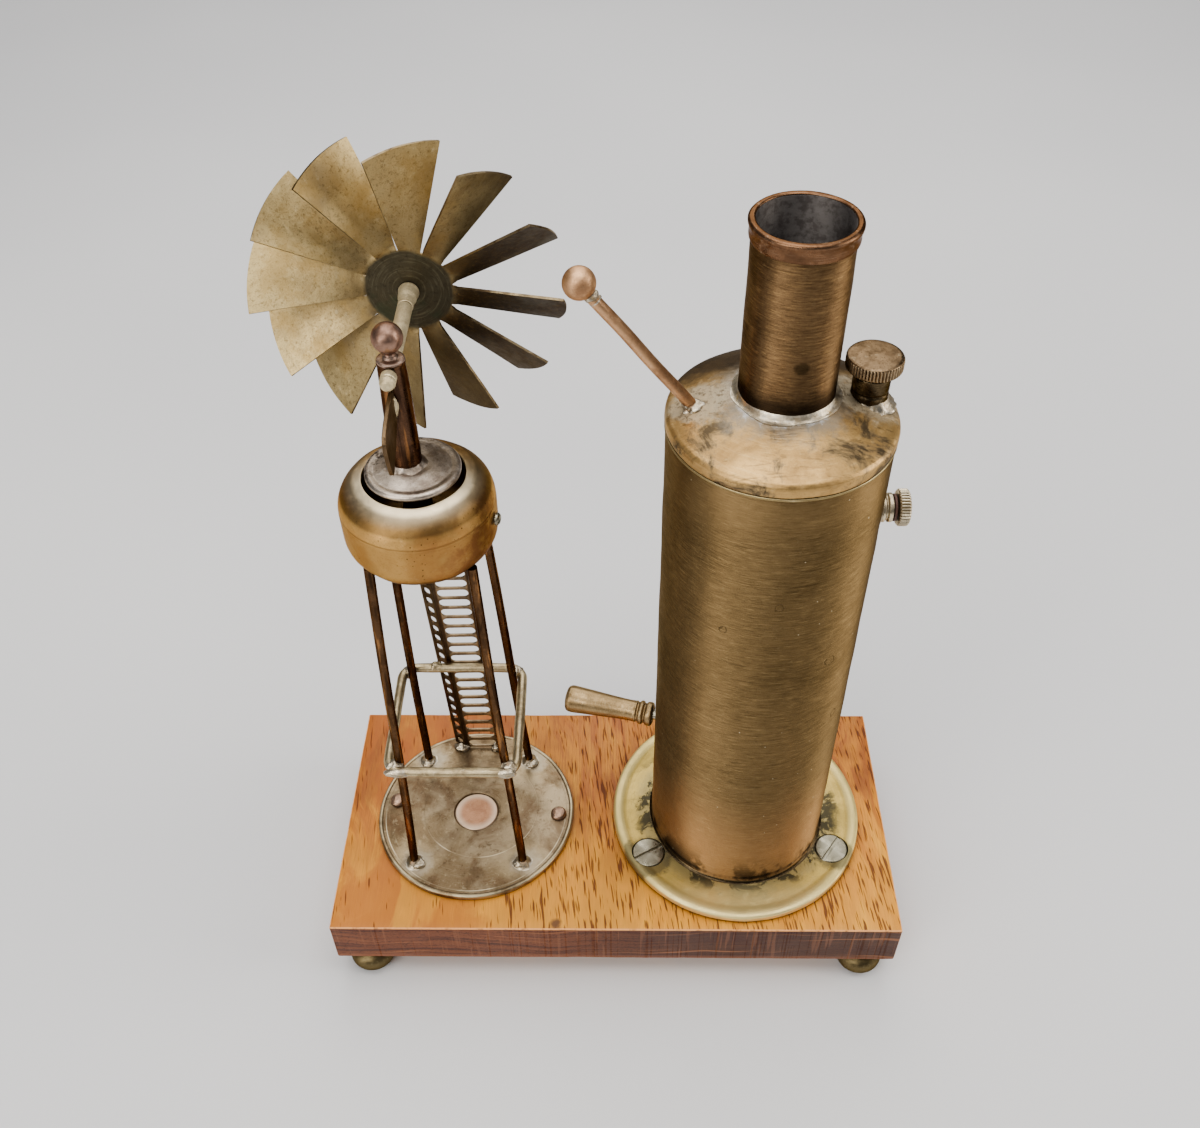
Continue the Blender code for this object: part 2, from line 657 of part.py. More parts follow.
def build_fan(mat):
    """Twelve blades slit and twisted out of one disc of thin sheet."""
    wheel = bmesh.new()
    centre = Vector((POST_X, FAN_Y, SHAFT_HEIGHT))
    sides = (-1.0, 0.0, 1.0)
    middle = (FAN_HUB_RADIUS + BLADE_NECK + FAN_RADIUS) / 2
    radii = [FAN_HUB_RADIUS, FAN_HUB_RADIUS + BLADE_NECK / 2, FAN_HUB_RADIUS + BLADE_NECK, middle, FAN_RADIUS]
    roots = []
    for number in range(FAN_BLADES):
        rows = []
        for radial in radii:
            row = [wheel.verts.new(centre + blade_point(number, radial, side)) for side in sides]
            rows.append(row)
        for low_row, high_row in zip(rows, rows[1:]):
            for step in range(len(sides) - 1):
                wheel.faces.new((low_row[step], low_row[step + 1], high_row[step + 1], high_row[step]))
        roots.extend(rows[0])
    bore = []
    for vert in roots:
        out = (vert.co - centre).normalized()
        bore.append(wheel.verts.new(centre + out * (AXLE_RADIUS + GAP)))
    count = len(roots)
    for step in range(count):
        after = (step + 1) % count
        wheel.faces.new((roots[step], bore[step], bore[after], roots[after]))
    fan = add_object("fan_wheel", wheel, mat["brass_dark"], centre)
    solid = fan.modifiers.new("sheet", "SOLIDIFY")
    solid.thickness = FAN_SHEET
    solid.offset = 0.0

    start = FAN_Y - 6.3 * MM
    hub = [
        (AXLE_RADIUS + GAP, start),
        (1.5 * MM, start),
        (1.5 * MM, FAN_Y - 3.4 * MM),
        (1.8 * MM, FAN_Y - 3.2 * MM),
        (1.8 * MM, FAN_Y - FAN_SHEET / 2 - GAP),
        (AXLE_RADIUS + GAP, FAN_Y - FAN_SHEET / 2 - GAP),
    ]
    turned("fan_hub", hub, mat["brass_pale"], (POST_X, 0, SHAFT_HEIGHT), (0, 1, 0), 16, centre)
    axle = [
        (0.0, -6.8 * MM),
        (0.9 * MM, -6.5 * MM),
        (1.5 * MM, -5.6 * MM),
        (1.5 * MM, -3.3 * MM),
        (AXLE_RADIUS, -3.3 * MM),
        (AXLE_RADIUS, FAN_Y + 3.0 * MM),
        (AXLE_RADIUS - 0.3 * MM, FAN_Y + 3.4 * MM),
        (0.0, FAN_Y + 3.4 * MM),
    ]
    turned("fan_axle", axle, mat["brass_pale"], (POST_X, 0, SHAFT_HEIGHT), (0, 1, 0), 12, centre)
    nut_start = FAN_Y + FAN_SHEET / 2 + GAP
    nut = [
        (AXLE_RADIUS + GAP, nut_start),
        (2.3 * MM, nut_start),
        (2.3 * MM, nut_start + 1.0 * MM),
        (1.7 * MM, nut_start + 1.7 * MM),
        (AXLE_RADIUS + GAP, nut_start + 1.7 * MM),
    ]
    turned("fan_nut", nut, mat["brass_pale"], (POST_X, 0, SHAFT_HEIGHT), (0, 1, 0), 14, centre)


# ---------------------------------------------------------------------- boiler

def build_flange(mat):
    low = DECK + GAP
    outline = [
        (0.0, low),
        (FLANGE_RADIUS - 0.3 * MM, low),
        (FLANGE_RADIUS, low + 0.5 * MM),
        (FLANGE_RADIUS - 0.2 * MM, FLANGE_FACE + 0.3 * MM),
        (FLANGE_RADIUS - 1.1 * MM, FLANGE_FACE + 0.65 * MM),
        (FLANGE_RADIUS - 2.2 * MM, FLANGE_FACE + 0.55 * MM),
        (FLANGE_RADIUS - 3.3 * MM, FLANGE_FACE),
        (0.0, FLANGE_FACE),
    ]
    flange = turned("boiler_flange", outline, mat["brass_pale"], (*BOILER, 0), segments=40)
    holes = [turned_mesh(screw_outline(GAP), place, segments=14) for place in screw_places()]
    cut(flange, "flange_holes_cutter", joined(holes))
    names = ("flange_screw_left", "flange_screw_right", "flange_screw_back")
    slots = (30.0, 54.0, 100.0)
    for name, place, slot in zip(names, screw_places(), slots):
        screw = turned(name, screw_outline(0.0), mat["steel"], place, segments=18)
        groove = box_mesh((-5.0 * MM, -0.35 * MM, -0.35 * MM), (5.0 * MM, 0.35 * MM, 2.0 * MM))
        groove.transform(Matrix.Translation(place) @ Matrix.Rotation(math.radians(slot), 4, "Z"))
        cut(screw, name + "_slot_cutter", groove)


def build_shell(mat):
    low = FLANGE_FACE + GAP
    outline = tube(SHELL_RADIUS, SHELL_RADIUS - SHELL_WALL, low, SHELL_TOP)
    shell = turned("boiler_shell", outline, mat["brass_dark"], (*BOILER, 0), segments=44)

    # The fire door is a sector cut out of the wall, down to the flange.
    half = math.radians(FIRE_DOOR_HALF)
    inner = SHELL_RADIUS * 0.7
    outer = SHELL_RADIUS * 1.25
    ring = []
    for radius, steps in ((inner, (1, -1)), (outer, (-1, -0.5, 0, 0.5, 1))):
        for step in steps:
            angle = math.radians(FIRE_DOOR_ANGLE) + half * step
            ring.append((BOILER[0] + radius * math.cos(angle), BOILER[1] + radius * math.sin(angle)))
    door = bmesh.new()
    face = door.faces.new([door.verts.new((x, y, low - MM)) for x, y in ring])
    grown = bmesh.ops.extrude_face_region(door, geom=[face])
    risen = [item for item in grown["geom"] if isinstance(item, bmesh.types.BMVert)]
    bmesh.ops.translate(door, verts=risen, vec=(0, 0, FIRE_DOOR_TOP - low + MM))
    face_outward(door)
    cut(shell, "fire_door_cutter", door)

    level = Vector((BOILER[0], BOILER[1], LEVEL_HEIGHT))
    hole = turned_mesh(disc(1.9 * MM, 15.0 * MM, 25.0 * MM, 0.1 * MM), level, (1, 0, 0), 14)
    cut(shell, "level_hole_cutter", hole)

    crown_outline = tube(SHELL_RADIUS - SHELL_WALL - GAP, FLUE_RADII[0] + GAP, FIREBOX_TOP, FIREBOX_TOP + MM)
    turned("firebox_crown", crown_outline, mat["brass_pale"], (*BOILER, 0), segments=32)
    flue_outline = tube(FLUE_RADII[0], FLUE_RADII[1], FIREBOX_TOP, CAP_CROWN + 4.0 * MM)
    turned("flue_tube", flue_outline, mat["brass_pale"], (CHIMNEY_X, BOILER[1], 0), segments=28)


def cap_height(radius):
    """Height of the domed cap's upper face at a distance from the boiler's axis."""
    inner = CHIMNEY_RADII[0]
    outer = SHELL_RADIUS - 0.6 * MM
    share = (radius - inner) / (outer - inner)
    return CAP_CROWN - (CAP_CROWN - CAP_SHOULDER) * (0.75 * share + 0.25 * share * share)


def build_cap(mat):
    skirt_radius = SHELL_RADIUS + 0.25 * MM
    sheet = 0.9 * MM
    hole = FLUE_RADII[0] + 0.65 * MM
    top = [(radius, cap_height(radius)) for radius in (hole, 12.0 * MM, 16.5 * MM, 21.1 * MM)]
    outline = [
        *top,
        (skirt_radius - 0.25 * MM, CAP_SHOULDER - 0.35 * MM),
        (skirt_radius, CAP_SHOULDER - 1.0 * MM),
        (skirt_radius, SHELL_TOP + GAP),
        (SHELL_RADIUS - SHELL_WALL - GAP, SHELL_TOP + GAP),
        (SHELL_RADIUS - SHELL_WALL - GAP, SHELL_TOP - 2.5 * MM),
        (SHELL_RADIUS - SHELL_WALL - GAP - 0.8 * MM, SHELL_TOP - 2.5 * MM),
        (SHELL_RADIUS - SHELL_WALL - GAP - 0.8 * MM, CAP_SHOULDER - sheet - 0.2 * MM),
        *[(radius, height - sheet) for radius, height in reversed(top[:-1])],
    ]
    cap = turned("boiler_cap", outline, mat["brass_gold"], (*BOILER, 0), segments=36)
    jet_axis = (JET_BALL - JET_FOOT).normalized()
    filler = (*FILLER, DECK)
    holes = [
        turned_mesh(disc(JET_RADIUS + GAP, -5.0 * MM, 5.0 * MM, 0.1 * MM), JET_FOOT, jet_axis, 12),
        turned_mesh(disc(FILLER_NECK[0] + GAP, 125.0 * MM, 145.0 * MM, 0.1 * MM), filler, segments=18),
    ]
    cut(cap, "cap_holes_cutter", joined(holes))


def build_chimney(mat):
    centre = (CHIMNEY_X, BOILER[1], 0)
    # The bore of the chimney's foot fits over the flue that stands up through the cap.
    low = cap_height(CHIMNEY_RADII[1]) + 0.45 * MM
    band_low = CHIMNEY_TOP - RIM_HEIGHT
    stack = tube(CHIMNEY_RADII[0], CHIMNEY_RADII[1], low, CHIMNEY_TOP - 0.4 * MM)
    turned("chimney", stack, mat["brass_dark"], centre, segments=36)
    inner = CHIMNEY_RADII[0] + GAP
    middle = (inner, band_low + RIM_HEIGHT / 2)
    bulge = RIM_RADIUS - inner
    band = [
        (inner, band_low),
        (inner + bulge * 0.6, band_low + 0.25 * MM),
        (RIM_RADIUS, band_low + 1.0 * MM),
        (RIM_RADIUS, middle[1] + 0.6 * MM),
        (RIM_RADIUS - 0.15 * MM, CHIMNEY_TOP - 0.5 * MM),
        (RIM_RADIUS - 0.5 * MM, CHIMNEY_TOP),
        (CHIMNEY_RADII[1] + 0.1 * MM, CHIMNEY_TOP),
        (CHIMNEY_RADII[1] + 0.1 * MM, CHIMNEY_TOP - 0.1 * MM),
        (inner, CHIMNEY_TOP - 0.1 * MM),
    ]
    turned("chimney_rim", band, mat["copper"], centre, segments=30)


def build_jet(mat):
    axis = (JET_BALL - JET_FOOT).normalized()
    start = JET_FOOT - axis * 1.2 * MM
    reach = (JET_BALL - start).length - 1.0 * MM
    outline = tube(JET_RADIUS, JET_BORE, 0.0, reach)
    turned("jet_pipe", outline, mat["copper"], start, axis, 12)
    outline = [
        (0.0, -JET_BALL_RADIUS),
        *arc((0.0, 0.0), JET_BALL_RADIUS, -72, 72, 8),
        (0.0, JET_BALL_RADIUS),
    ]
    ball = turned("jet_ball", outline, mat["copper"], JET_BALL, axis, 18)
    socket = disc(JET_RADIUS + GAP, -5.0 * MM, -0.6 * MM, 0.1 * MM)
    cut(ball, "jet_socket_cutter", turned_mesh(socket, JET_BALL, axis, 12))
    nozzle = disc(0.45 * MM, -1.2 * MM, 5.0 * MM, 0.05 * MM)
    cut(ball, "jet_nozzle_cutter", turned_mesh(nozzle, JET_BALL, JET_AIM, 8))


def build_filler(mat):
    place = (*FILLER, 0)
    outline = tube(FILLER_NECK[0], FILLER_NECK[1], DECK + 131.8 * MM, FILLER_NECK_TOP)
    turned("filler_neck", outline, mat["brass_pale"], place, segments=18)
    washer_low = FILLER_NECK_TOP + GAP
    washer_high = washer_low + 0.6 * MM
    outline = tube(FILLER_NECK[0], FILLER_NECK[1], washer_low, washer_high)
    turned("filler_washer", outline, mat["fibre"], place, segments=18)
    under = washer_high + GAP
    stem = 1.7 * MM
    outline = [
        (0.0, DECK + 134.5 * MM),
        (stem - 0.3 * MM, DECK + 134.5 * MM),
        (stem, DECK + 134.8 * MM),
        (stem, under),
        (FILLER_CAP_RADIUS - 0.3 * MM, under),
        (FILLER_CAP_RADIUS, under + 0.3 * MM),
        (FILLER_CAP_RADIUS, FILLER_CAP_TOP - 0.7 * MM),
        (FILLER_CAP_RADIUS - 0.5 * MM, FILLER_CAP_TOP - 0.3 * MM),
        (FILLER_CAP_RADIUS - 1.2 * MM, FILLER_CAP_TOP),
        (0.0, FILLER_CAP_TOP),
    ]
    turned("filler_plug", outline, mat["brass_gold"], place, segments=26)


def build_level_plug(mat):
    place = (BOILER[0], BOILER[1], LEVEL_HEIGHT)
    along = (1, 0, 0)
    boss = [
        (1.9 * MM, 22.0 * MM), (3.0 * MM, 22.0 * MM), (3.0 * MM, 22.6 * MM), (2.7 * MM, 22.8 * MM),
        (2.7 * MM, 23.1 * MM), (3.0 * MM, 23.3 * MM), (3.0 * MM, 24.1 * MM), (1.9 * MM, 24.1 * MM),
    ]
    turned("level_boss", boss, mat["brass_pale"], place, along, 16)
    washer = tube(2.8 * MM, 1.9 * MM, 24.4 * MM, 24.9 * MM)
    turned("level_washer", washer, mat["fibre"], place, along, 16)
    head = LEVEL_HEAD_RADIUS
    plug = [
        (0.0, 19.3 * MM), (1.3 * MM, 19.3 * MM), (1.5 * MM, 19.6 * MM), (1.5 * MM, 25.2 * MM),
        (head - 0.3 * MM, 25.2 * MM), (head, 25.5 * MM), (head, 27.3 * MM),
        (head - 0.5 * MM, LEVEL_REACH), (0.0, LEVEL_REACH),
    ]
    turned("level_plug", plug, mat["brass_pale"], place, along, 20)


# -------------------------------------------------------------- spirit burner

def build_burner(mat):
    place = (*BOILER, 0)
    wall = 0.8 * MM
    tube_radius = 3.0 * MM
    hole = tube_radius + GAP
    tank = [
        (0.0, TANK_BOTTOM),
        (TANK_RADIUS - 0.5 * MM, TANK_BOTTOM),
        (TANK_RADIUS, TANK_BOTTOM + 0.5 * MM),
        (TANK_RADIUS, TANK_TOP - 0.8 * MM),
        (TANK_RADIUS - 0.8 * MM, TANK_TOP),
        (hole, TANK_TOP),
        (hole, TANK_TOP - wall),
        (TANK_RADIUS - wall - 0.5 * MM, TANK_TOP - wall),
        (TANK_RADIUS - wall, TANK_TOP - wall - 0.6 * MM),
        (TANK_RADIUS - wall, TANK_BOTTOM + wall),
        (0.0, TANK_BOTTOM + wall),
    ]
    turned("burner_tank", tank, mat["brass_gold"], place, segments=28)
    wick_tube = tube(tube_radius, 2.3 * MM, TANK_TOP - 9.0 * MM, TANK_TOP + 8.0 * MM)
    turned("wick_tube", wick_tube, mat["brass_pale"], place, segments=16)
    wick = disc(2.0 * MM, TANK_TOP - 14.0 * MM, TANK_TOP + 10.0 * MM, 0.4 * MM)
    turned("wick", wick, mat["wick"], place, segments=12)

    out = around((0, 0), 1.0, HANDLE_ANGLE, 0.0)
    centre = Vector((*BOILER, 0))
    radius = 1.2 * MM
    rise = 7.2 * MM
    bend = 3.0 * MM
    points = [centre + out * rise + Vector((0, 0, TANK_TOP + GAP))]
    for along, height in arc((rise + bend, HANDLE_HEIGHT - bend), bend, 180, 90, 6):
        points.append(centre + out * along + Vector((0, 0, height)))
    points.append(centre + out * (HANDLE_START + 3.0 * MM) + Vector((0, 0, HANDLE_HEIGHT)))
    bent_rod("burner_stem", points, radius, mat["steel"])

    grip = mm([
        (1.5, 0.0), (2.4, 0.0), (3.0, 0.4), (3.0, 1.7), (2.6, 2.0), (2.6, 2.3), (2.95, 2.6),
        (2.95, 3.4), (2.6, 3.7), (2.6, 4.0), (2.8, 4.3), (2.6, 4.8), (2.65, 8.0), (3.0, 14.0),
        (3.4, 20.0), (3.3, 21.4), (2.6, 22.1), (0.0, 22.3), (0.0, 6.0), (1.5, 6.0),
    ])
    grip_base = centre + out * HANDLE_START + Vector((0, 0, HANDLE_HEIGHT))
    turned("burner_handle", grip, mat["brass_pale"], grip_base, out, 18)


# ---------------------------------------------------------------- moving pieces

def hang_on(name, place, pieces):
    """Parent pieces to an empty on their joint axis, without moving them."""
    axis = bpy.data.objects.new(name, None)
    axis.location = place
    bpy.context.scene.collection.objects.link(axis)
    for piece in pieces:
        item = bpy.data.objects[piece]
        item.parent = axis
        item.matrix_parent_inverse = Matrix.Translation(Vector(place)).inverted()


def hang_moving_pieces():
    head = ("turntable", "swivel_pin", "swivel_nut", "post", "post_ball", "bearing_sleeve", "tail_vane")
    fan = ("fan_wheel", "fan_hub", "fan_axle", "fan_nut")
    burner = ("burner_tank", "wick_tube", "wick", "burner_stem", "burner_handle")
    hang_on("head_axis", (HEAD_X, 0, TURNTABLE_BOTTOM), head)
    hang_on("fan_axis", (POST_X, FAN_Y, SHAFT_HEIGHT), fan)
    hang_on("filler_axis", (*FILLER, FILLER_CAP_TOP), ("filler_washer", "filler_plug"))
    hang_on("level_axis", (BOILER[0] + LEVEL_REACH, BOILER[1], LEVEL_HEIGHT), ("level_washer", "level_plug"))
    hang_on("burner_path", (*BOILER, TANK_BOTTOM), burner)


def main():
    for item in list(bpy.data.objects):
        bpy.data.objects.remove(item, do_unlink=True)
    mat = build_materials()
    build_base(mat)
    build_tower_plate(mat)
    build_legs_and_rail(mat)
    build_ladder(mat)
    build_drum(mat)
    build_head(mat)
    build_fan(mat)
    build_flange(mat)
    build_shell(mat)
    build_cap(mat)
    build_chimney(mat)
    build_jet(mat)
    build_filler(mat)
    build_level_plug(mat)
    build_burner(mat)
    hang_moving_pieces()


main()
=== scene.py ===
"""Looks of the model steam windmill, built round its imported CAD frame."""

import json
import math

import bmesh
import bpy
from mathutils import Matrix, Vector, noise


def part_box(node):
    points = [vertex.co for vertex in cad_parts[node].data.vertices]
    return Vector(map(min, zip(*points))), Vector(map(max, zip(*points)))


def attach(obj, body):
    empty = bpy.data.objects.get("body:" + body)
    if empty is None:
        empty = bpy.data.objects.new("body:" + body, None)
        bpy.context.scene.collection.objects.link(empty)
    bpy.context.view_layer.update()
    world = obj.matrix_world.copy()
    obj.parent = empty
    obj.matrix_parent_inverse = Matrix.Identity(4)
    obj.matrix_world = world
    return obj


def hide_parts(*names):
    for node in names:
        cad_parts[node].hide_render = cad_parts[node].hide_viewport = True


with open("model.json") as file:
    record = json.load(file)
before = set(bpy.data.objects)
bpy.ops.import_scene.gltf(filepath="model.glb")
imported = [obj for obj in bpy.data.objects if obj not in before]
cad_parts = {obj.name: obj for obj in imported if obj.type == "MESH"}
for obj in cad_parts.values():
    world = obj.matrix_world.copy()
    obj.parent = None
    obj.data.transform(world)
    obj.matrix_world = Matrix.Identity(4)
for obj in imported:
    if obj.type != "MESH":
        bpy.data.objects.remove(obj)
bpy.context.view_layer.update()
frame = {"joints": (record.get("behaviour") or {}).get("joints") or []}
MM = 0.001
NOISE_SEED = 7
noise.seed_set(NOISE_SEED)


# ------------------------------------------------------------- where things are

def low_of(node):
    return Vector(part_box(node)[0])


def high_of(node):
    return Vector(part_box(node)[1])


def middle_of(node):
    return (low_of(node) + high_of(node)) / 2


def foot_of(node):
    """Middle of the underside of a node's box."""
    centre = middle_of(node)
    return at_height(centre, low_of(node).z)


def head_of(node):
    """Middle of the top of a node's box."""
    centre = middle_of(node)
    return at_height(centre, high_of(node).z)


def at_height(place, z):
    """The same spot at another height."""
    return Vector((place.x, place.y, z))


def radius_of(node, axis="x"):
    """Half the width of a node's box, in mm."""
    return (getattr(high_of(node), axis) - getattr(low_of(node), axis)) / 2 / MM


def rise_of(node):
    """Height of a node's box, in mm."""
    return (high_of(node).z - low_of(node).z) / MM


FAN_CENTRE = next(Vector(joint["pos_m"]) for joint in frame["joints"] if joint["name"] == "fan_spin")


# ------------------------------------------------------------------ node trees

def srgb(red, green, blue):
    """A linear colour from 0-255 display values."""
    linear = []
    for value in (red, green, blue):
        share = value / 255.0
        linear.append(share / 12.92 if share <= 0.04045 else ((share + 0.055) / 1.055) ** 2.4)
    return (*linear, 1.0)


class Mask:
    """A number that varies over a piece; sums and products of masks are masks too."""

    def __init__(self, shade, socket):
        self.shade = shade
        self.socket = socket

    def __add__(self, other):
        return self.shade.math("ADD", self, other)

    def __sub__(self, other):
        return self.shade.math("SUBTRACT", self, other)

    def __rsub__(self, other):
        return self.shade.math("SUBTRACT", other, self)

    def __mul__(self, other):
        return self.shade.math("MULTIPLY", self, other)

    def __abs__(self):
        return self.shade.math("ABSOLUTE", self)


class Shade:
    """One material, with short calls for the nodes that it is made of."""

    def __init__(self, name):
        self.material = bpy.data.materials.new(name)
        self.material.use_nodes = True
        self.tree = self.material.node_tree
        self.tree.nodes.clear()
        self.shader = self.node("ShaderNodeBsdfPrincipled")
        output = self.node("ShaderNodeOutputMaterial")
        self.tree.links.new(self.shader.outputs[0], output.inputs[0])
        self.place = self.node("ShaderNodeTexCoord").outputs["Object"]

    def node(self, kind, **settings):
        made = self.tree.nodes.new(kind)
        for key, value in settings.items():
            setattr(made, key, value)
        return made

    def put(self, socket, value):
        value = getattr(value, "socket", value)
        if isinstance(value, bpy.types.NodeSocket):
            self.tree.links.new(value, socket)
        else:
            socket.default_value = value

    def math(self, operation, first, second=0.0, clamp=False):
        made = self.node("ShaderNodeMath", operation=operation, use_clamp=clamp)
        self.put(made.inputs[0], first)
        self.put(made.inputs[1], second)
        return Mask(self, made.outputs[0])

    def vector(self, operation, first, second=(0.0, 0.0, 0.0)):
        made = self.node("ShaderNodeVectorMath", operation=operation)
        self.put(made.inputs[0], first)
        self.put(made.inputs[1], second)
        if operation in ("LENGTH", "DISTANCE"):
            return Mask(self, made.outputs["Value"])
        return made.outputs["Vector"]

    def split(self, vector):
        made = self.node("ShaderNodeSeparateXYZ")
        self.put(made.inputs[0], vector)
        return [Mask(self, socket) for socket in made.outputs]

    def join(self, x, y, z):
        made = self.node("ShaderNodeCombineXYZ")
        for socket, value in zip(made.inputs, (x, y, z)):
            self.put(socket, value)
        return made.outputs[0]

    def noise(self, vector, scale, detail=3.0, rough=0.55, distort=0.0):
        made = self.node("ShaderNodeTexNoise")
        self.put(made.inputs["Vector"], vector)
        made.inputs["Scale"].default_value = scale
        made.inputs["Detail"].default_value = detail
        made.inputs["Roughness"].default_value = rough
        made.inputs["Distortion"].default_value = distort
        return Mask(self, made.outputs["Fac"])

    def mottle(self, *settings):
        """Noise over the piece's own space."""
        return self.noise(self.place, *settings)

    def cells(self, vector, scale):
        made = self.node("ShaderNodeTexVoronoi")
        self.put(made.inputs["Vector"], vector)
        made.inputs["Scale"].default_value = scale
        return Mask(self, made.outputs["Distance"])

    def fit(self, value, low, high, to_low=0.0, to_high=1.0):
        """Smoothly from to_low to to_high as value goes from low to high."""
        made = self.node("ShaderNodeMapRange", interpolation_type="SMOOTHSTEP")
        for socket, number in zip(made.inputs, (value, low, high, to_low, to_high)):
            self.put(socket, number)
        return Mask(self, made.outputs[0])

    def mix(self, share, first, second):
        made = self.node("ShaderNodeMix", data_type="RGBA")
        self.put(made.inputs[0], share)
        self.put(made.inputs[6], first)
        self.put(made.inputs[7], second)
        return made.outputs[2]

    def stretch(self, factors, offset=(0.0, 0.0, 0.0)):
        return self.vector("ADD", self.vector("MULTIPLY", self.place, factors), offset)

    def flat(self):
        return self.vector("MULTIPLY", self.place, (1.0, 1.0, 0.0))

    def radius(self):
        return self.vector("LENGTH", self.flat())

    def rings(self, fine, spread=3.0, detail=2.0):
        """Fine lines that run round the piece's own Z axis, as turning leaves them."""
        flat = self.flat()
        heading = self.split(self.vector("NORMALIZE", flat))
        level = self.vector("LENGTH", flat) + self.split(self.place)[2]
        where = self.join(
            heading[0] * spread,
            heading[1] * spread,
            level * fine,
        )
        return self.noise(where, 1.0, detail, 0.6)

    def spot(self, centre, reach, soft, wander=0.0, scale=400.0):
        """1 inside reach of a point in the piece's own space, 0 beyond, with a ragged edge."""
        away = self.vector("DISTANCE", self.place, centre)
        if wander:
            ragged = self.mottle(scale, 4.0, 0.65) - 0.5
            away = away + ragged * wander
        return self.fit(away, reach + soft, reach - soft)

    def edges(self, low=0.515, high=0.56):
        """1 on outer edges, where handling wears the metal bright."""
        geometry = self.node("ShaderNodeNewGeometry")
        return self.fit(geometry.outputs["Pointiness"], low, high)

    def hollows(self, distance, low=0.35, high=0.85):
        """1 in corners and close to other pieces, for grime and painted shade there."""
        made = self.node("ShaderNodeAmbientOcclusion", samples=6)
        made.inputs["Distance"].default_value = distance
        return self.fit(made.outputs["AO"], high, low)

    def bump(self, height, strength, distance, below=None):
        made = self.node("ShaderNodeBump")
        made.inputs["Strength"].default_value = strength
        made.inputs["Distance"].default_value = distance
        self.put(made.inputs["Height"], height)
        if below is not None:
            self.put(made.inputs["Normal"], below)
        return made.outputs[0]

    def finish(self, colour, rough, metallic=1.0, normal=None, coat=0.0):
        self.put(self.shader.inputs["Base Color"], colour)
        if metallic > 0.5:
            self.put(self.shader.inputs["Specular Tint"], self.mix(0.35, colour, (1.0, 1.0, 1.0, 1.0)))
        self.put(self.shader.inputs["Roughness"], rough)
        self.put(self.shader.inputs["Metallic"], metallic)
        if normal is not None:
            self.put(self.shader.inputs["Normal"], normal)
        self.shader.inputs["Coat Weight"].default_value = coat
        self.shader.inputs["Coat Roughness"].default_value = 0.25
        return self.material


def aged_metal(
    name,
    base,
    dark,
    light,
    rough=(0.3, 0.5),
    patch=110.0,
    patches=0.7,
    grain=0.35,
    lines=0.0,
    line_scale=4500.0,
    wear=0.5,
    grime_and_shade=0.0,
    grime_and_shade_reach=0.0025,
    bumpy=0.25,
    metallic=1.0,
    seed=0.0,
    brush=0.0,
    extra=None,
):
    """Old metal: patches of patina, fine grain, turning lines, worn edges, grime and painted shade in
    corners.
    """
    shade = Shade(name)
    where = shade.stretch((1.0, 1.0, 1.0), (seed, seed * 0.7, -seed * 0.3))
    broad = shade.noise(where, patch, 5.0, 0.62, 0.4)
    fine = shade.noise(where, 2600.0, 3.0, 0.7)
    middle = shade.noise(where, 620.0, 4.0, 0.65)
    colour = shade.mix(shade.fit(broad, 0.42, 0.66, 0.0, patches), base, dark)
    colour = shade.mix(shade.fit(middle, 0.56, 0.78, 0.0, grain), colour, light)
    colour = shade.mix(shade.fit(fine, 0.5, 0.72, 0.0, grain), colour, dark)
    height = fine + middle * 1.5
    if lines:
        turned = shade.rings(line_scale)
        colour = shade.mix(shade.fit(turned, 0.52, 0.72, 0.0, lines), colour, dark)
        colour = shade.mix(shade.fit(turned, 0.46, 0.3, 0.0, lines * 0.6), colour, light)
        height = height + turned * (6.0 * lines)
    roughness = shade.fit(broad, 0.35, 0.7, rough[0], rough[1])
    roughness = roughness + shade.fit(middle, 0.4, 0.7, -0.04, 0.08)
    if wear:
        worn = shade.edges() * wear
        colour = shade.mix(worn, colour, light)
    # Grime and painted shade: darker in corners and close to other pieces.
    if grime_and_shade:
        corner = shade.hollows(grime_and_shade_reach) * grime_and_shade
        grime_and_shade_colour = tuple(value * 0.16 for value in dark[:3]) + (1.0,)
        colour = shade.mix(corner, colour, grime_and_shade_colour)
        roughness = roughness + corner * 0.25
    if extra:
        colour, roughness, height = extra(shade, colour, roughness, height)
    if brush:
        shade.shader.inputs["Anisotropic"].default_value = brush
        shade.shader.inputs["Anisotropic Rotation"].default_value = 0.25
        round_axis = shade.node("ShaderNodeTangent", direction_type="RADIAL", axis="Z")
        shade.put(shade.shader.inputs["Tangent"], round_axis.outputs[0])
    normal = shade.bump(height, bumpy, 0.00006)
    return shade.finish(colour, roughness, metallic, normal)


# ------------------------------------------------------------------- mesh tools

def new_object(name, mesh, matrix=None, smooth=35.0):
    item = bpy.data.objects.new(name, mesh)
    if matrix is not None:
        item.matrix_world = matrix
    bpy.context.scene.collection.objects.link(item)
    if smooth:
        mesh.shade_smooth()
        mesh.set_sharp_from_angle(angle=math.radians(smooth))
    return item


def to_object(name, shape, matrix=None, smooth=35.0):
    """Turn a finished bmesh into an object."""
    mesh = bpy.data.meshes.new(name)
    shape.to_mesh(mesh)
    shape.free()
    return new_object(name, mesh, matrix, smooth)


def dress(item, body, material, *nodes, slot=None):
    """Give a piece its material, its body and the CAD nodes that it stands for."""
    item.data.materials.clear()
    item.data.materials.append(material)
    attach(item, body)
    if nodes:
        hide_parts(*nodes)
    return item


def solder_on(item):
    """Make a drop or ring into solder that stands still."""
    return dress(item, "stand", SOLDER, slot="tinned_plate")


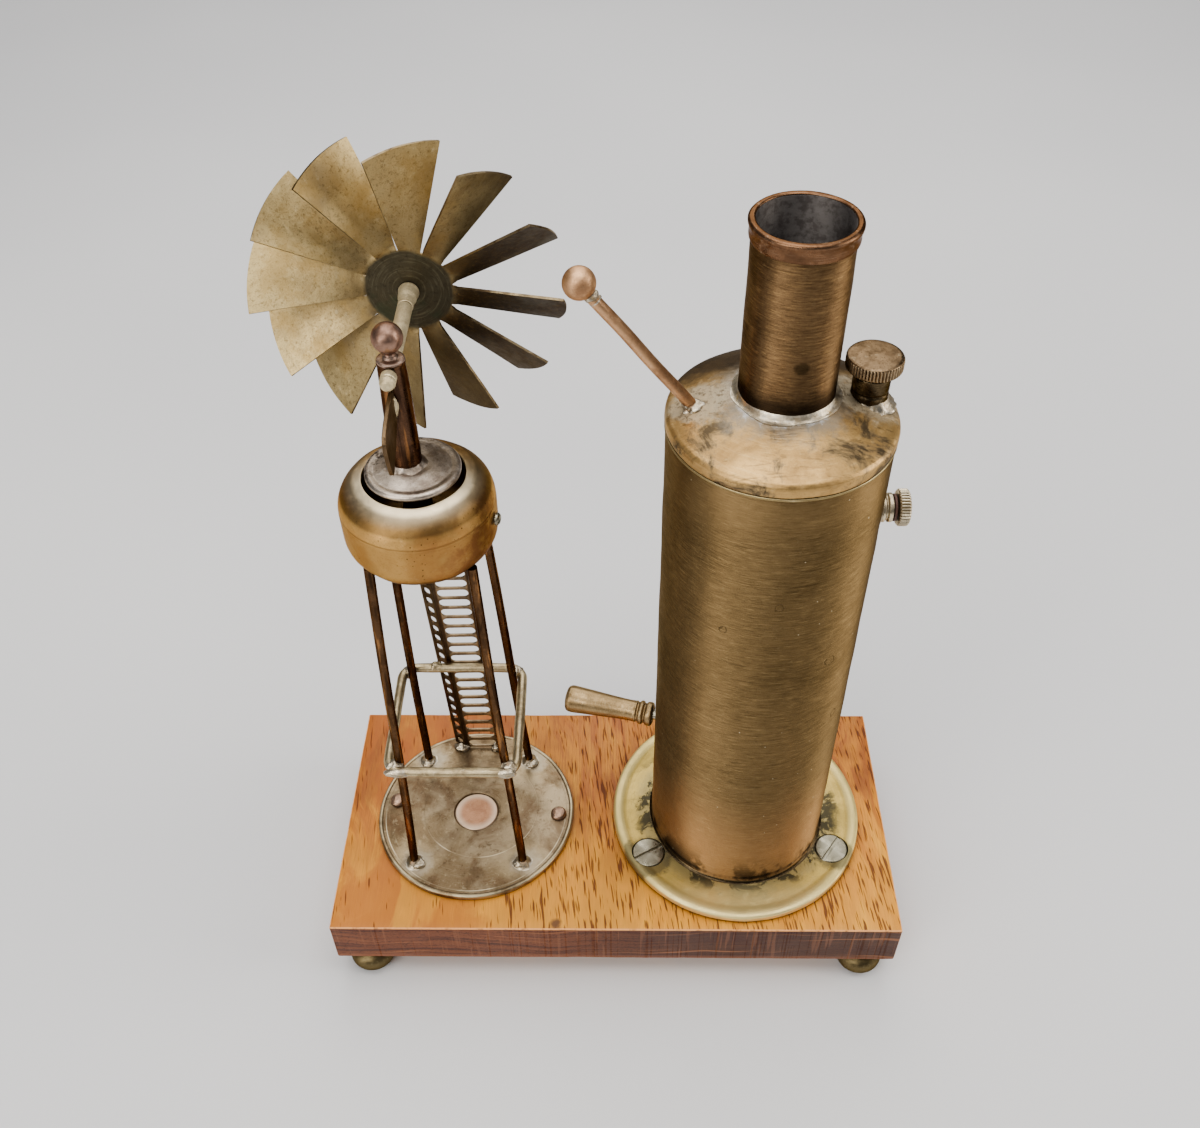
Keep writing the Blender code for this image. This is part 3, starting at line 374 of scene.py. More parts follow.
def soften(points, radius, steps=3, closed=False):
    """Round the corners of an outline."""
    count = len(points)
    result = []
    for index, point in enumerate(points):
        if not closed and index in (0, count - 1):
            result.append(tuple(point))
            continue
        here = Vector(point)
        back = Vector(points[index - 1]) - here
        ahead = Vector(points[(index + 1) % count]) - here
        reach = min(radius, back.length * 0.45, ahead.length * 0.45)
        if reach < 1e-6 or back.angle(ahead, 0.0) > math.radians(172):
            result.append(tuple(point))
            continue
        start = here + back.normalized() * reach
        end = here + ahead.normalized() * reach
        for step in range(steps + 1):
            share = step / steps
            curve = start * (1 - share) ** 2 + here * 2 * share * (1 - share) + end * share**2
            result.append(tuple(curve))
    return result


def arc(centre, radius, start, end, steps):
    points = []
    for step in range(steps + 1):
        angle = math.radians(start + (end - start) * step / steps)
        points.append((centre[0] + radius * math.cos(angle), centre[1] + radius * math.sin(angle)))
    return points


def settle(shape):
    bmesh.ops.recalc_face_normals(shape, faces=shape.faces)
    if shape.calc_volume(signed=True) < 0.0:
        bmesh.ops.reverse_faces(shape, faces=shape.faces)


def turn_to(axis):
    """Rotation that takes Z to the axis; upright pieces keep X and Y."""
    if tuple(axis) == (0, 0, 1):
        return Matrix.Identity(4)
    return Vector(axis).to_track_quat("Z", "Y").to_matrix().to_4x4()


def lathe(name, profile, place, axis=(0, 0, 1), segments=96, corner=0.12, ribs=None, uneven=0.0):
    """Turn a (radius, height) outline in mm about an axis; place is where height is 0.

    ribs is (count, depth, lowest, highest) for knurling.  uneven is hand-made
    unevenness in mm.
    """
    closed = profile[0][0] > 0.0
    outline = soften(profile, corner, 3, closed) if corner else profile
    shape = bmesh.new()
    rings = []
    for radius, height in outline:
        if radius < 1e-6:
            rings.append([shape.verts.new((0.0, 0.0, height * MM))])
            continue
        ring = []
        for step in range(segments):
            angle = math.tau * step / segments
            reach = radius
            if ribs and ribs[2] <= height <= ribs[3]:
                reach -= ribs[1] * (0.5 + 0.5 * math.cos(ribs[0] * angle)) ** 1.5
            place_in_mm = Vector((reach * math.cos(angle), reach * math.sin(angle), height))
            if uneven:
                place_in_mm += noise.noise_vector(place_in_mm * 0.16) * uneven
            ring.append(shape.verts.new(place_in_mm * MM))
        rings.append(ring)
    pairs = list(zip(rings, rings[1:]))
    if closed:
        pairs.append((rings[-1], rings[0]))
    for low, high in pairs:
        for step in range(segments):
            after = (step + 1) % segments
            corners = []
            for ring, index in ((low, step), (low, after), (high, after), (high, step)):
                vert = ring[index % len(ring)]
                if vert not in corners:
                    corners.append(vert)
            if len(corners) > 2:
                shape.faces.new(corners)
    settle(shape)
    return to_object(name, shape, Matrix.Translation(Vector(place)) @ turn_to(axis))


def tube(outer, inner, low, high):
    return [(inner, low), (outer, low), (outer, high), (inner, high)]


def disc(radius, low, high):
    return [(0.0, low), (radius, low), (radius, high), (0.0, high)]


def bake(item):
    """Apply the modifiers, then mark the sharp edges of the result."""
    bpy.context.view_layer.update()
    graph = bpy.context.evaluated_depsgraph_get()
    mesh = bpy.data.meshes.new_from_object(item.evaluated_get(graph))
    item.modifiers.clear()
    old = item.data
    item.data = mesh
    bpy.data.meshes.remove(old)
    mesh.name = item.name
    mesh.shade_smooth()
    mesh.set_sharp_from_angle(angle=math.radians(35))


def carve(item, cutter):
    """Cut one mesh out of another for good."""
    change = item.modifiers.new("carve", "BOOLEAN")
    change.operation = "DIFFERENCE"
    change.solver = "EXACT"
    change.object = cutter
    bake(item)
    cutter_mesh = cutter.data
    bpy.data.objects.remove(cutter)
    bpy.data.meshes.remove(cutter_mesh)


def box_object(name, low, high, matrix=None):
    shape = bmesh.new()
    bmesh.ops.create_cube(shape, size=1.0)
    size = Vector(high) - Vector(low)
    shape.transform(Matrix.Translation((Vector(high) + Vector(low)) / 2) @ Matrix.Diagonal((*size, 1.0)))
    return to_object(name, shape, matrix, smooth=0)


def piped(name, points, radius, sides=20, closed=False, swell=None):
    """A round rod along a line of world points, with its own slight unevenness."""
    origin = Vector(points[0])
    count = len(points)
    shape = bmesh.new()
    rings = []
    up = Vector((0.13, 0.21, 1.0)).normalized()
    for index, point in enumerate(points):
        here = Vector(point)
        before = Vector(points[index - 1]) if closed or index else here
        after = Vector(points[(index + 1) % count]) if closed or index < count - 1 else here
        along = (after - before).normalized()
        side = up.cross(along).normalized()
        top = along.cross(side)
        thick = radius * (swell(index / count) if swell else 1.0)
        ring = []
        for step in range(sides):
            angle = math.tau * step / sides
            offset = side * math.cos(angle) + top * math.sin(angle)
            ring.append(shape.verts.new(here + offset * thick - origin))
        rings.append(ring)
    pairs = list(zip(rings, rings[1:]))
    if closed:
        pairs.append((rings[-1], rings[0]))
    for low, high in pairs:
        for step in range(sides):
            after = (step + 1) % sides
            shape.faces.new((low[step], low[after], high[after], high[step]))
    if not closed:
        shape.faces.new(rings[0])
        shape.faces.new(rings[-1])
    settle(shape)
    return to_object(name, shape, Matrix.Translation(origin), smooth=50)


def blob(name, place, radii, seed, rough=0.3, detail=4):
    """A frozen drop of solder, radii in mm."""
    shape = bmesh.new()
    bmesh.ops.create_icosphere(shape, subdivisions=detail, radius=1.0)
    for vert in shape.verts:
        lump = noise.fractal(vert.co * 1.3 + Vector((seed, seed * 2.0, 0.5)), 0.9, 2.1, 4)
        vert.co *= 1.0 + rough * lump
        vert.co = Vector([value * size * MM for value, size in zip(vert.co, radii)])
    return to_object(name, shape, Matrix.Translation(Vector(place)), smooth=80)


def fillet(name, place, inner, outer, height, seed, ragged=0.35, axis=(0, 0, 1), drop=0.0):
    """A ragged concave ring of solder round a rod or tube, sizes in mm."""
    shape = bmesh.new()
    segments = 72
    steps = 6
    rings = []
    for step in range(steps + 1):
        share = step / steps
        ring = []
        for index in range(segments):
            angle = math.tau * index / segments
            heading = Vector((math.cos(angle), math.sin(angle), 0.0))
            lump = noise.fractal(heading * 1.4 + Vector((seed, 0.0, share * 0.7)), 0.9, 2.0, 4)
            edge = outer + (outer - inner) * ragged * lump * 2.0
            reach = edge + (inner - edge) * share
            level = height * (1.0 + ragged * lump) * share**2.2 - drop * (1.0 - share)
            ring.append(shape.verts.new((heading * reach + Vector((0, 0, level))) * MM))
        rings.append(ring)
    for ring, level in ((0, -0.25 - drop), (-1, -0.25 - drop)):
        lower = []
        for vert in rings[ring]:
            lower.append(shape.verts.new((vert.co.x, vert.co.y, level * MM)))
        if ring == 0:
            rings.insert(0, lower)
        else:
            rings.append(lower)
    rings.append(rings[0])
    for low, high in zip(rings, rings[1:]):
        for index in range(segments):
            after = (index + 1) % segments
            shape.faces.new((low[index], low[after], high[after], high[index]))
    settle(shape)
    return to_object(name, shape, Matrix.Translation(Vector(place)) @ turn_to(axis), smooth=60)


# -------------------------------------------------------------------- materials

def oak():
    """Waxed oak whose grain runs front to back, with end grain on the long faces."""
    shade = Shade("oak")
    x, y, z = shade.split(shade.place)
    wander = shade.noise(shade.stretch((30.0, 14.0, 30.0)), 1.0, 3.0, 0.5)
    bend = (wander - 0.5) * 0.03
    slant = x + bend + y * 0.12
    depth = z * 120.0
    bands = shade.noise(shade.join(slant * 190.0, y * 16.0, depth), 1.0, 4.0, 0.6)
    flakes = shade.noise(shade.join(slant * 420.0, y * 46.0, depth), 1.0, 4.0, 0.65)
    fibres = shade.noise(shade.stretch((2600.0, 110.0, 2600.0)), 1.0, 3.0, 0.7)
    clouds = shade.noise(shade.stretch((42.0, 34.0, 42.0), (3.1, 0.4, 0.0)), 1.0, 4.0, 0.6)
    top = shade.mix(shade.fit(bands, 0.38, 0.64), srgb(218, 138, 16), srgb(180, 96, 8))
    top = shade.mix(shade.fit(flakes, 0.54, 0.66, 0.0, 0.75), top, srgb(234, 160, 34))
    top = shade.mix(shade.fit(flakes, 0.47, 0.34, 0.0, 0.6), top, srgb(150, 68, 14))
    top = shade.mix(shade.fit(clouds, 0.46, 0.66, 0.0, 0.75), top, srgb(132, 66, 10))
    top = shade.mix(shade.fit(fibres, 0.42, 0.72, 0.0, 0.55), top, srgb(112, 52, 12))

    # Painted light: the top lighter towards the front and darker towards the back.
    bright = shade.mix(shade.fit(y, 0.012, -0.030, 0.0, 0.45), top, srgb(250, 178, 44))
    top = shade.mix(shade.fit(y, 0.012, 0.033, 0.0, 0.45), bright, srgb(146, 78, 18))
    figure = shade.noise(shade.stretch((70.0, 42.0, 70.0), (5.3, 1.4, 0.0)), 1.0, 4.0, 0.6, 0.8)
    left = shade.fit(x, -0.008, -0.050) * shade.fit(figure, 0.56, 0.42, 0.1, 0.72)
    top = shade.mix(left, top, srgb(168, 88, 14))

    # Open pores: short dark dashes, crowded towards the right and few at the left end.
    tilt = x + y * 0.12
    dash = shade.noise(shade.join(tilt * 1900.0, y * 170.0, 4.0), 1.0, 1.0, 0.4)
    longer = shade.noise(shade.join(tilt * 1250.0, y * 95.0, 9.0), 1.0, 1.0, 0.4)
    crowd = shade.fit(bands, 0.4, 0.6, 0.0, 0.7) + shade.fit(x, -0.05, 0.0, -0.6, 0.35)
    lower = 0.65 - crowd * 0.07
    pores = shade.math("MULTIPLY", dash - lower, 16.0, clamp=True)
    lower = 0.67 - crowd * 0.07
    pores = shade.math("MAXIMUM", pores, shade.math("MULTIPLY", longer - lower, 16.0, clamp=True))
    pores = pores * shade.fit(fibres, 0.2, 0.5, 0.45, 0.9)
    top = shade.mix(pores, top, srgb(84, 36, 12))
    knot = shade.spot((-0.0145, -0.0318, 0.0142), 0.0013, 0.0007, 0.0016, 700.0)
    top = shade.mix(knot * 0.85, top, srgb(60, 30, 20))

    # End grain: nearly level growth rings crossed by upright rays.
    sway = shade.noise(shade.stretch((26.0, 1.0, 26.0), (9.0, 0.0, 0.0)), 1.0, 2.0, 0.5)
    level = z + sway * 0.012
    ring = shade.noise(shade.join(x * 20.0, 0.0, level * 900.0), 1.0, 2.0, 0.6)
    ray = shade.noise(shade.join(x * 900.0, 2.0, z * 50.0), 1.0, 1.0, 0.5)
    speck = shade.noise(shade.stretch((1300.0, 1300.0, 2300.0)), 1.0, 3.0, 0.7)
    end = shade.mix(shade.fit(x, -0.03, 0.03), srgb(116, 64, 36), srgb(74, 42, 24))
    end = shade.mix(shade.fit(ring, 0.52, 0.4, 0.0, 0.75), end, srgb(66, 32, 22))
    end = shade.mix(shade.fit(speck, 0.5, 0.66, 0.0, 0.7), end, srgb(48, 22, 16))
    end = shade.mix(shade.fit(ring, 0.58, 0.68, 0.0, 0.5), end, srgb(176, 110, 66))
    end = shade.mix(shade.fit(ray, 0.58, 0.68, 0.0, 0.3), end, srgb(150, 96, 62))
    end = shade.mix(shade.fit(z, 0.0022, 0.0004, 0.0, 0.5), end, srgb(156, 92, 52))

    facing = shade.split(shade.node("ShaderNodeNewGeometry").outputs["Normal"])
    on_end = shade.fit(abs(facing[1]), 0.55, 0.85)
    colour = shade.mix(on_end, top, end)
    lean = abs(facing[2])
    # The top arris painted lighter in broken stretches: worn wood and a painted highlight.
    arris = shade.fit(lean, 0.12, 0.3) * shade.fit(lean, 0.985, 0.9) * shade.fit(z, 0.012, 0.0132)
    worn_and_lit = shade.fit(shade.mottle(500.0, 3.0, 0.6), 0.3, 0.5, 0.35, 0.9)
    colour = shade.mix(arris * worn_and_lit, colour, srgb(244, 170, 104))
    # Grime and painted shade: darker in corners and next to the pieces that stand on the oak.
    corner = shade.hollows(0.004, 0.3, 0.85) * 0.75
    colour = shade.mix(corner, colour, srgb(64, 30, 10))
    relief = fibres * 0.4 - pores * 1.4
    relief = relief + on_end * ring * 0.8
    normal = shade.bump(relief, 0.45, 0.0002)
    rough = shade.fit(clouds, 0.3, 0.7, 0.36, 0.5) + pores * 0.3
    rough = rough + on_end * 0.14
    shade.shader.inputs["Specular IOR Level"].default_value = 0.3
    return shade.finish(colour, rough, 0.0, normal)


def solder():
    """Dull grey-white soft solder with oxide and a few bluish spots."""
    def extra(shade, colour, roughness, height):
        blue = shade.fit(shade.mottle(700.0, 3.0), 0.54, 0.66, 0.0, 0.6)
        colour = shade.mix(blue, colour, srgb(160, 156, 148))
        yellow = shade.fit(shade.mottle(520.0, 3.0), 0.58, 0.7, 0.0, 0.6)
        colour = shade.mix(yellow, colour, srgb(190, 160, 104))
        return colour, roughness, height

    return aged_metal(
        "solder",
        srgb(200, 186, 160),
        srgb(130, 114, 90),
        srgb(238, 230, 212),
        rough=(0.3, 0.5),
        patch=420.0,
        patches=0.85,
        grain=0.55,
        wear=0.25,
        grime_and_shade=0.7,
        grime_and_shade_reach=0.0012,
        bumpy=0.6,
        extra=extra,
    )


def plate_metal():
    """Tinned brass plate: pale beige wash, brown patches, part of a scribed circle, solder stains."""
    feet = [leg_points(name)[0] for name in LEGS]
    centre = foot_of("tower_plate")

    def extra(shade, colour, roughness, height):
        x, y, z = shade.split(shade.place)
        cloud = shade.mottle(80.0, 5.0, 0.62, 0.6)
        side = cloud + x * 5.0 - abs(y + 0.004) * 5.0
        pale = shade.fit(side, 0.34, 0.62, 0.0, 0.8)
        colour = shade.mix(pale, colour, srgb(166, 148, 118))
        brown = shade.fit(shade.mottle(120.0, 5.0, 0.66, 0.5), 0.46, 0.66, 0.0, 0.6)
        colour = shade.mix(brown, colour, srgb(92, 66, 44))
        blot = shade.mottle(520.0, 4.0, 0.7)
        colour = shade.mix(shade.fit(blot, 0.55, 0.68, 0.0, 0.55), colour, srgb(72, 54, 38))
        colour = shade.mix(shade.fit(blot, 0.42, 0.3, 0.0, 0.3), colour, srgb(196, 176, 138))
        for foot in feet:
            local = foot - centre
            halo = shade.spot((local.x, local.y, 0.001), 0.0058, 0.0022, 0.008, 260.0)
            colour = shade.mix(halo * 0.45, colour, srgb(186, 166, 128))
            stain = shade.spot((local.x + 0.0008, local.y, 0.001), 0.0034, 0.0012, 0.005, 420.0)
            colour = shade.mix(stain * 0.7, colour, srgb(196, 182, 156))
            dark = shade.spot((local.x - 0.001, local.y + 0.0004, 0.001), 0.0024, 0.001, 0.004, 500.0)
            colour = shade.mix(dark * 0.6, colour, srgb(76, 66, 58))
            roughness = roughness + stain * 0.15
        for offset, reach, low, high in (
            ((0.0012, 0.001, 0.0), 0.0150, -0.002, -0.012),
            ((0.0, 0.0, 0.0), 0.0236, 0.004, -0.01),
        ):
            from_centre = shade.vector("SUBTRACT", shade.place, offset)
            away = shade.vector("LENGTH", shade.vector("MULTIPLY", from_centre, (1, 1, 0)))
            line = shade.fit(abs(away - reach), 0.00020, 0.00004)
            broken = shade.fit(shade.mottle(90.0, 2.0), 0.42, 0.55, 0.1, 0.75)
            front = shade.fit(y, low, high)
            colour = shade.mix(line * broken * front, colour, srgb(222, 206, 170))
            height = height - line * 1.5
        rim = shade.fit(shade.radius(), 0.0245, 0.0250) * shade.fit(cloud, 0.35, 0.5) * 0.6
        colour = shade.mix(rim, colour, srgb(204, 190, 152))
        return colour, roughness, height

    return aged_metal(
        "plate_metal", srgb(126, 106, 78), srgb(80, 64, 44), srgb(204, 190, 152),
        rough=(0.32, 0.46), patches=0.8, grain=0.45, lines=0.2, wear=0.0, grime_and_shade=0.5, grime_and_shade_reach=0.002,
        metallic=0.9, extra=extra,
    )


def brushed(shade, colour, height, across, fine, dark, light, amount):
    """Short scratches that run round an upright tube."""
    short = shade.noise(shade.stretch((across, across, fine)), 1.0, 3.0, 0.75)
    longer = shade.noise(
        shade.stretch((across * 0.35, across * 0.35, fine * 0.6), (4.0, 2.0, 0.0)), 1.0, 3.0, 0.7
    )
    colour = shade.mix(shade.fit(short, 0.5, 0.64, 0.0, amount), colour, dark)
    colour = shade.mix(shade.fit(short, 0.46, 0.34, 0.0, amount * 0.8), colour, light)
    colour = shade.mix(shade.fit(longer, 0.58, 0.68, 0.0, amount), colour, dark)
    height = height + short * 4.0
    return colour, height


def shell_metal():
    """Boiler barrel: fine scratches that run round it, brown patina, a painted reflection of the oak near
    the foot, painted shade on its right side.
    """
    def extra(shade, colour, roughness, height):
        x, y, z = shade.split(shade.place)
        colour, height = brushed(
            shade, colour, height, 300.0, 3400.0, srgb(62, 48, 28), srgb(176, 148, 100), 0.4
        )
        # Painted reflection of the oak base: warmer towards the foot.
        oak_reflection = shade.fit(z, 0.04, 0.006, 0.0, 0.55)
        colour = shade.mix(oak_reflection, colour, srgb(190, 144, 92))
        top = shade.fit(z, 0.112, 0.124, 0.0, 0.35)
        colour = shade.mix(top, colour, srgb(150, 122, 80))
        # Painted shade: the right side of the barrel darker.
        colour = shade.mix(shade.fit(x, 0.0165, 0.0212, 0.0, 0.6), colour, srgb(70, 54, 34))
        stain = shade.noise(shade.stretch((110.0, 110.0, 80.0), (1.0, 5.0, 2.0)), 1.0, 4.0, 0.7)
        near = shade.fit(z, 0.012, 0.0005, 0.0, 1.0)
        dark = near * shade.fit(stain, 0.44, 0.56)
        colour = shade.mix(dark * 0.9, colour, srgb(38, 30, 20))
        band = shade.fit(abs(z - 0.0016), 0.0009, 0.0003)
        colour = shade.mix(band * shade.fit(stain, 0.35, 0.5) * 0.8, colour, srgb(34, 28, 20))
        for centre, reach in (((0.0128, -0.0176, 0.0785), 0.0012), ((0.0004, -0.0217, 0.0985), 0.0008),
                              ((0.0166, -0.0140, 0.0575), 0.0009), ((-0.0098, -0.0193, 0.0900), 0.0007)):
            ring = shade.vector("DISTANCE", shade.place, centre)
            ring = ring + shade.mottle(700.0, 3.0) * 0.0016
            mark = shade.fit(abs(ring - (reach + 0.0008)), 0.00022, 0.00006)
            colour = shade.mix(mark * 0.45, colour, srgb(44, 34, 20))
            height = height - mark * 4.0
        bright = shade.fit(shade.cells(shade.place, 260.0), 0.05, 0.02)
        colour = shade.mix(bright * 0.8, colour, srgb(230, 214, 176))
        return colour, roughness, height

    return aged_metal(
        "shell_metal", srgb(124, 101, 66), srgb(94, 75, 46), srgb(172, 148, 104),
        rough=(0.5, 0.56), patch=45.0, patches=0.45, grain=0.3, wear=0.35, grime_and_shade=0.6, grime_and_shade_reach=0.002,
        bumpy=0.4, brush=0.9, extra=extra,
    )


def cap_metal():
    """Boiler top: golden, with grey solder stain round the chimney and by the two fittings, and painted
    shade over its back.
    """
    centre = foot_of("boiler_shell")
    jet = Vector((high_of("jet_pipe").x, middle_of("jet_pipe").y, high_of("boiler_cap").z)) - centre
    filler = foot_of("filler_neck") - centre

    def extra(shade, colour, roughness, height):
        x, y, z = shade.split(shade.place)
        flat = shade.flat()
        ragged = (shade.mottle(230.0, 5.0, 0.7) - 0.5) * 0.011
        blot = shade.mottle(125.0, 6.0, 0.72, 0.7)
        front = shade.fit(y, 0.0, -0.010, 0.25, 1.0)
        colour = shade.mix(shade.fit(blot, 0.49, 0.58) * front * 0.65, colour, srgb(112, 98, 76))
        colour = shade.mix(shade.fit(blot, 0.55, 0.64) * front * 0.8, colour, srgb(58, 50, 40))
        scratch = shade.noise(shade.stretch((140.0, 900.0, 300.0), (2.0, 0.0, 0.0)), 1.0, 4.0, 0.7)
        colour = shade.mix(shade.fit(scratch, 0.56, 0.66, 0.0, 0.5), colour, srgb(92, 76, 52))
        away = shade.vector("LENGTH", flat) + ragged
        halo = shade.fit(away, 0.0158, 0.0108)
        colour = shade.mix(halo * 0.75, colour, srgb(138, 130, 116))
        ring = shade.fit(away, 0.0112, 0.0092) * front
        colour = shade.mix(ring * 0.85, colour, srgb(192, 194, 196))
        for place, reach in ((jet, 0.0056), (filler, 0.0060)):
            distance = shade.vector("DISTANCE", flat, (place.x, place.y, 0.0)) + ragged
            near = shade.fit(distance, reach + 0.0016, reach - 0.0014)
            crust = shade.mottle(800.0, 4.0, 0.7)
            colour = shade.mix(near * 0.75, colour, srgb(188, 174, 146))
            colour = shade.mix(near * shade.fit(crust, 0.5, 0.62) * 0.7, colour, srgb(104, 88, 66))
            roughness = roughness + near * 0.15
            height = height + near * crust * 6.0
        # Painted shade: the back of the lid, beyond the chimney, darker.
        shaded_back = shade.fit(y + ragged, 0.003, 0.011)
        colour = shade.mix(shaded_back * 0.9, colour, srgb(56, 47, 38))
        return colour, roughness, height

    return aged_metal(
        "cap_metal", srgb(190, 152, 92), srgb(138, 106, 62), srgb(228, 198, 138),
        rough=(0.36, 0.48), patches=0.6, grain=0.4, lines=0.25, line_scale=2600.0, wear=0.5, grime_and_shade=0.3,
        grime_and_shade_reach=0.002, bumpy=0.35, metallic=0.85, extra=extra,
    )


def flange_metal():
    """Boiler foot: yellow-green brass, greyer and darker in blots towards the barrel, dark stains by the
    screws, painted highlights on its rim and its front.
    """
    centre = foot_of("boiler_flange")

    def extra(shade, colour, roughness, height):
        x, y, z = shade.split(shade.place)
        flat = shade.flat()
        ragged = shade.mottle(240.0, 5.0, 0.7) - 0.5
        away = shade.vector("LENGTH", flat) + ragged * 0.006
        grey = shade.fit(away, 0.0272, 0.0236)
        colour = shade.mix(grey * 0.6, colour, srgb(150, 138, 98))
        stain = shade.mottle(115.0, 5.0, 0.7, 1.0)
        spread = away + shade.fit(y, -0.022, -0.004) * -0.0012
        patch = shade.fit(spread, 0.0268, 0.0232) * shade.fit(stain, 0.5, 0.57)
        colour = shade.mix(patch * 0.9, colour, srgb(46, 44, 36))
        # Painted highlight along the rim's bead.
        rim = shade.fit(shade.vector("LENGTH", flat), 0.0288, 0.0298)
        colour = shade.mix(rim * 0.5, colour, srgb(240, 222, 150))
        lit = shade.fit(y, -0.020, -0.028) * 0.45
        colour = shade.mix(lit, colour, srgb(250, 232, 168))
        for name, reach in (("left", 0.0058), ("right", 0.0050), ("back", 0.0055)):
            screw = foot_of(f"flange_screw_{name}") - centre
            lower = (screw.x * 1.02, screw.y - 0.0016, 0.0)
            distance = shade.vector("DISTANCE", flat, lower)
            near = shade.fit(distance + ragged * 0.006, reach + 0.0008, reach - 0.0008)
            colour = shade.mix(near * 0.7, colour, srgb(70, 66, 54))
        return colour, roughness, height

    return aged_metal(
        "flange_metal", srgb(204, 174, 92), srgb(158, 134, 66), srgb(234, 212, 144),
        rough=(0.42, 0.52), patches=0.5, grain=0.35, lines=0.2, line_scale=2600.0, wear=0.3, grime_and_shade=0.5,
        grime_and_shade_reach=0.0015, bumpy=0.25, metallic=0.75, extra=extra,
    )


def drum_metal():
    """Golden spun brass with orange patina, dark pinholes, a painted highlight on its shoulder, and painted
    shade below its crease, on its right and inside its mouth.
    """
    def extra(shade, colour, roughness, height):
        x, y, z = shade.split(shade.place)
        orange = shade.fit(shade.mottle(75.0, 4.0, 0.6), 0.45, 0.62, 0.0, 0.55)
        colour = shade.mix(orange, colour, srgb(176, 122, 62))
        # Painted shade: darker below the crease, with a dark line along the crease.
        lower = shade.fit(z, 0.0131, 0.0119, 0.0, 0.35)
        colour = shade.mix(lower, colour, srgb(138, 102, 56))
        crease = shade.fit(abs(z - 0.01265), 0.0003, 0.00008)
        colour = shade.mix(crease * 0.4, colour, srgb(92, 62, 34))
        height = height - crease * 3.0
        turned = shade.fit(shade.mottle(120.0, 5.0, 0.7), 0.48, 0.6)
        shaded = shade.fit(x - y * 0.2, 0.004, 0.014) * turned
        colour = shade.mix(shaded * 0.6, colour, srgb(120, 72, 46))
        pit = shade.fit(shade.cells(shade.place, 900.0), 0.18, 0.08)
        some = shade.fit(shade.mottle(210.0, 2.0), 0.46, 0.6)
        colour = shade.mix(pit * some * 0.85, colour, srgb(44, 28, 14))
        # Painted highlight on the front of the shoulder.
        shoulder_highlight = shade.fit(z, 0.0160, 0.0186) * shade.fit(y, 0.010, -0.004)
        colour = shade.mix(shoulder_highlight * 0.8, colour, srgb(250, 236, 200))
        # Painted shade inside the drum's mouth.
        inside = shade.fit(z, 0.0184, 0.0178)
        hollow = shade.fit(shade.radius(), 0.0152, 0.0148) * inside
        colour = shade.mix(hollow * 0.6, colour, srgb(66, 48, 30))
        return colour, roughness, height

    return aged_metal(
        "drum_metal",
        srgb(202, 158, 90),
        srgb(148, 108, 58),
        srgb(238, 204, 138),
        rough=(0.42, 0.52),
        patch=85.0,
        patches=0.55,
        grain=0.45,
        wear=0.4,
        grime_and_shade=0.3,
        bumpy=0.45,
        extra=extra,
    )


def fan_metal():
    """Khaki blades with painted shade: dark brown on the right-hand blades, darker at the roots and on the
    lower blades; a green-black boss.
    """
    def extra(shade, colour, roughness, height):
        x, y, z = shade.split(shade.place)
        reach = shade.vector("LENGTH", shade.join(x, z, 0.0))
        cloud = shade.mottle(80.0, 4.0, 0.6)
        drift = (cloud - 0.5) * 0.012
        # Painted shade: darker towards the hub.
        root_shade = shade.fit(reach + drift, 0.0210, 0.0095, 0.0, 0.6)
        colour = shade.mix(root_shade, colour, srgb(92, 74, 46))
        # Painted shade: the right-hand blades, turned down and away from the light, painted dark brown.
        side = x - z * 0.35 + drift
        brown = shade.fit(side, -0.001, 0.0125)
        grit = shade.mottle(1150.0, 5.0, 0.8)
        colour = shade.mix(brown * 0.94, colour, srgb(46, 35, 23))
        colour = shade.mix(brown * shade.fit(grit, 0.5, 0.64) * 0.4, colour, srgb(112, 90, 56))
        colour = shade.mix(shade.fit(grit, 0.51, 0.66, 0.0, 0.62), colour, srgb(98, 78, 46))
        gold = shade.fit(shade.mottle(105.0, 5.0, 0.65), 0.48, 0.62, 0.0, 0.5)
        gold = gold * (1.0 - brown)
        colour = shade.mix(gold, colour, srgb(168, 138, 78))
        blue = shade.fit(shade.mottle(60.0, 3.0, 0.5), 0.56, 0.7, 0.0, 0.3)
        colour = shade.mix(blue, colour, srgb(124, 120, 110))
        # Painted shade on the lower blades.
        low = shade.fit(z, -0.008, -0.020) * shade.fit(x, -0.020, -0.004)
        colour = shade.mix(low * 0.4, colour, srgb(88, 72, 46))
        boss = shade.fit(reach + drift * 0.25, 0.0092, 0.0082)
        swirl = shade.noise(shade.join(reach * 2600.0, x * 160.0, z * 160.0), 1.0, 3.0, 0.7)
        dark = shade.mix(shade.fit(swirl, 0.48, 0.68, 0.0, 0.4), srgb(58, 54, 42), srgb(112, 106, 84))
        dark = shade.mix(shade.fit(grit, 0.52, 0.66, 0.0, 0.6), dark, srgb(34, 32, 26))
        dark = shade.mix(shade.fit(cloud, 0.52, 0.62, 0.0, 0.5), dark, srgb(44, 58, 42))
        colour = shade.mix(boss * 0.94, colour, dark)
        roughness = roughness + brown * -0.06
        return colour, roughness, height

    return aged_metal(
        "fan_metal",
        srgb(202, 178, 124),
        srgb(142, 116, 72),
        srgb(228, 210, 164),
        rough=(0.44, 0.54),
        patch=55.0,
        patches=0.6,
        grain=0.6,
        wear=0.0,
        # Here mostly painted shade where the blades overlap and near their roots.
        grime_and_shade=0.75,
        grime_and_shade_reach=0.006,
        bumpy=0.6,
        metallic=0.85,
        extra=extra,
    )


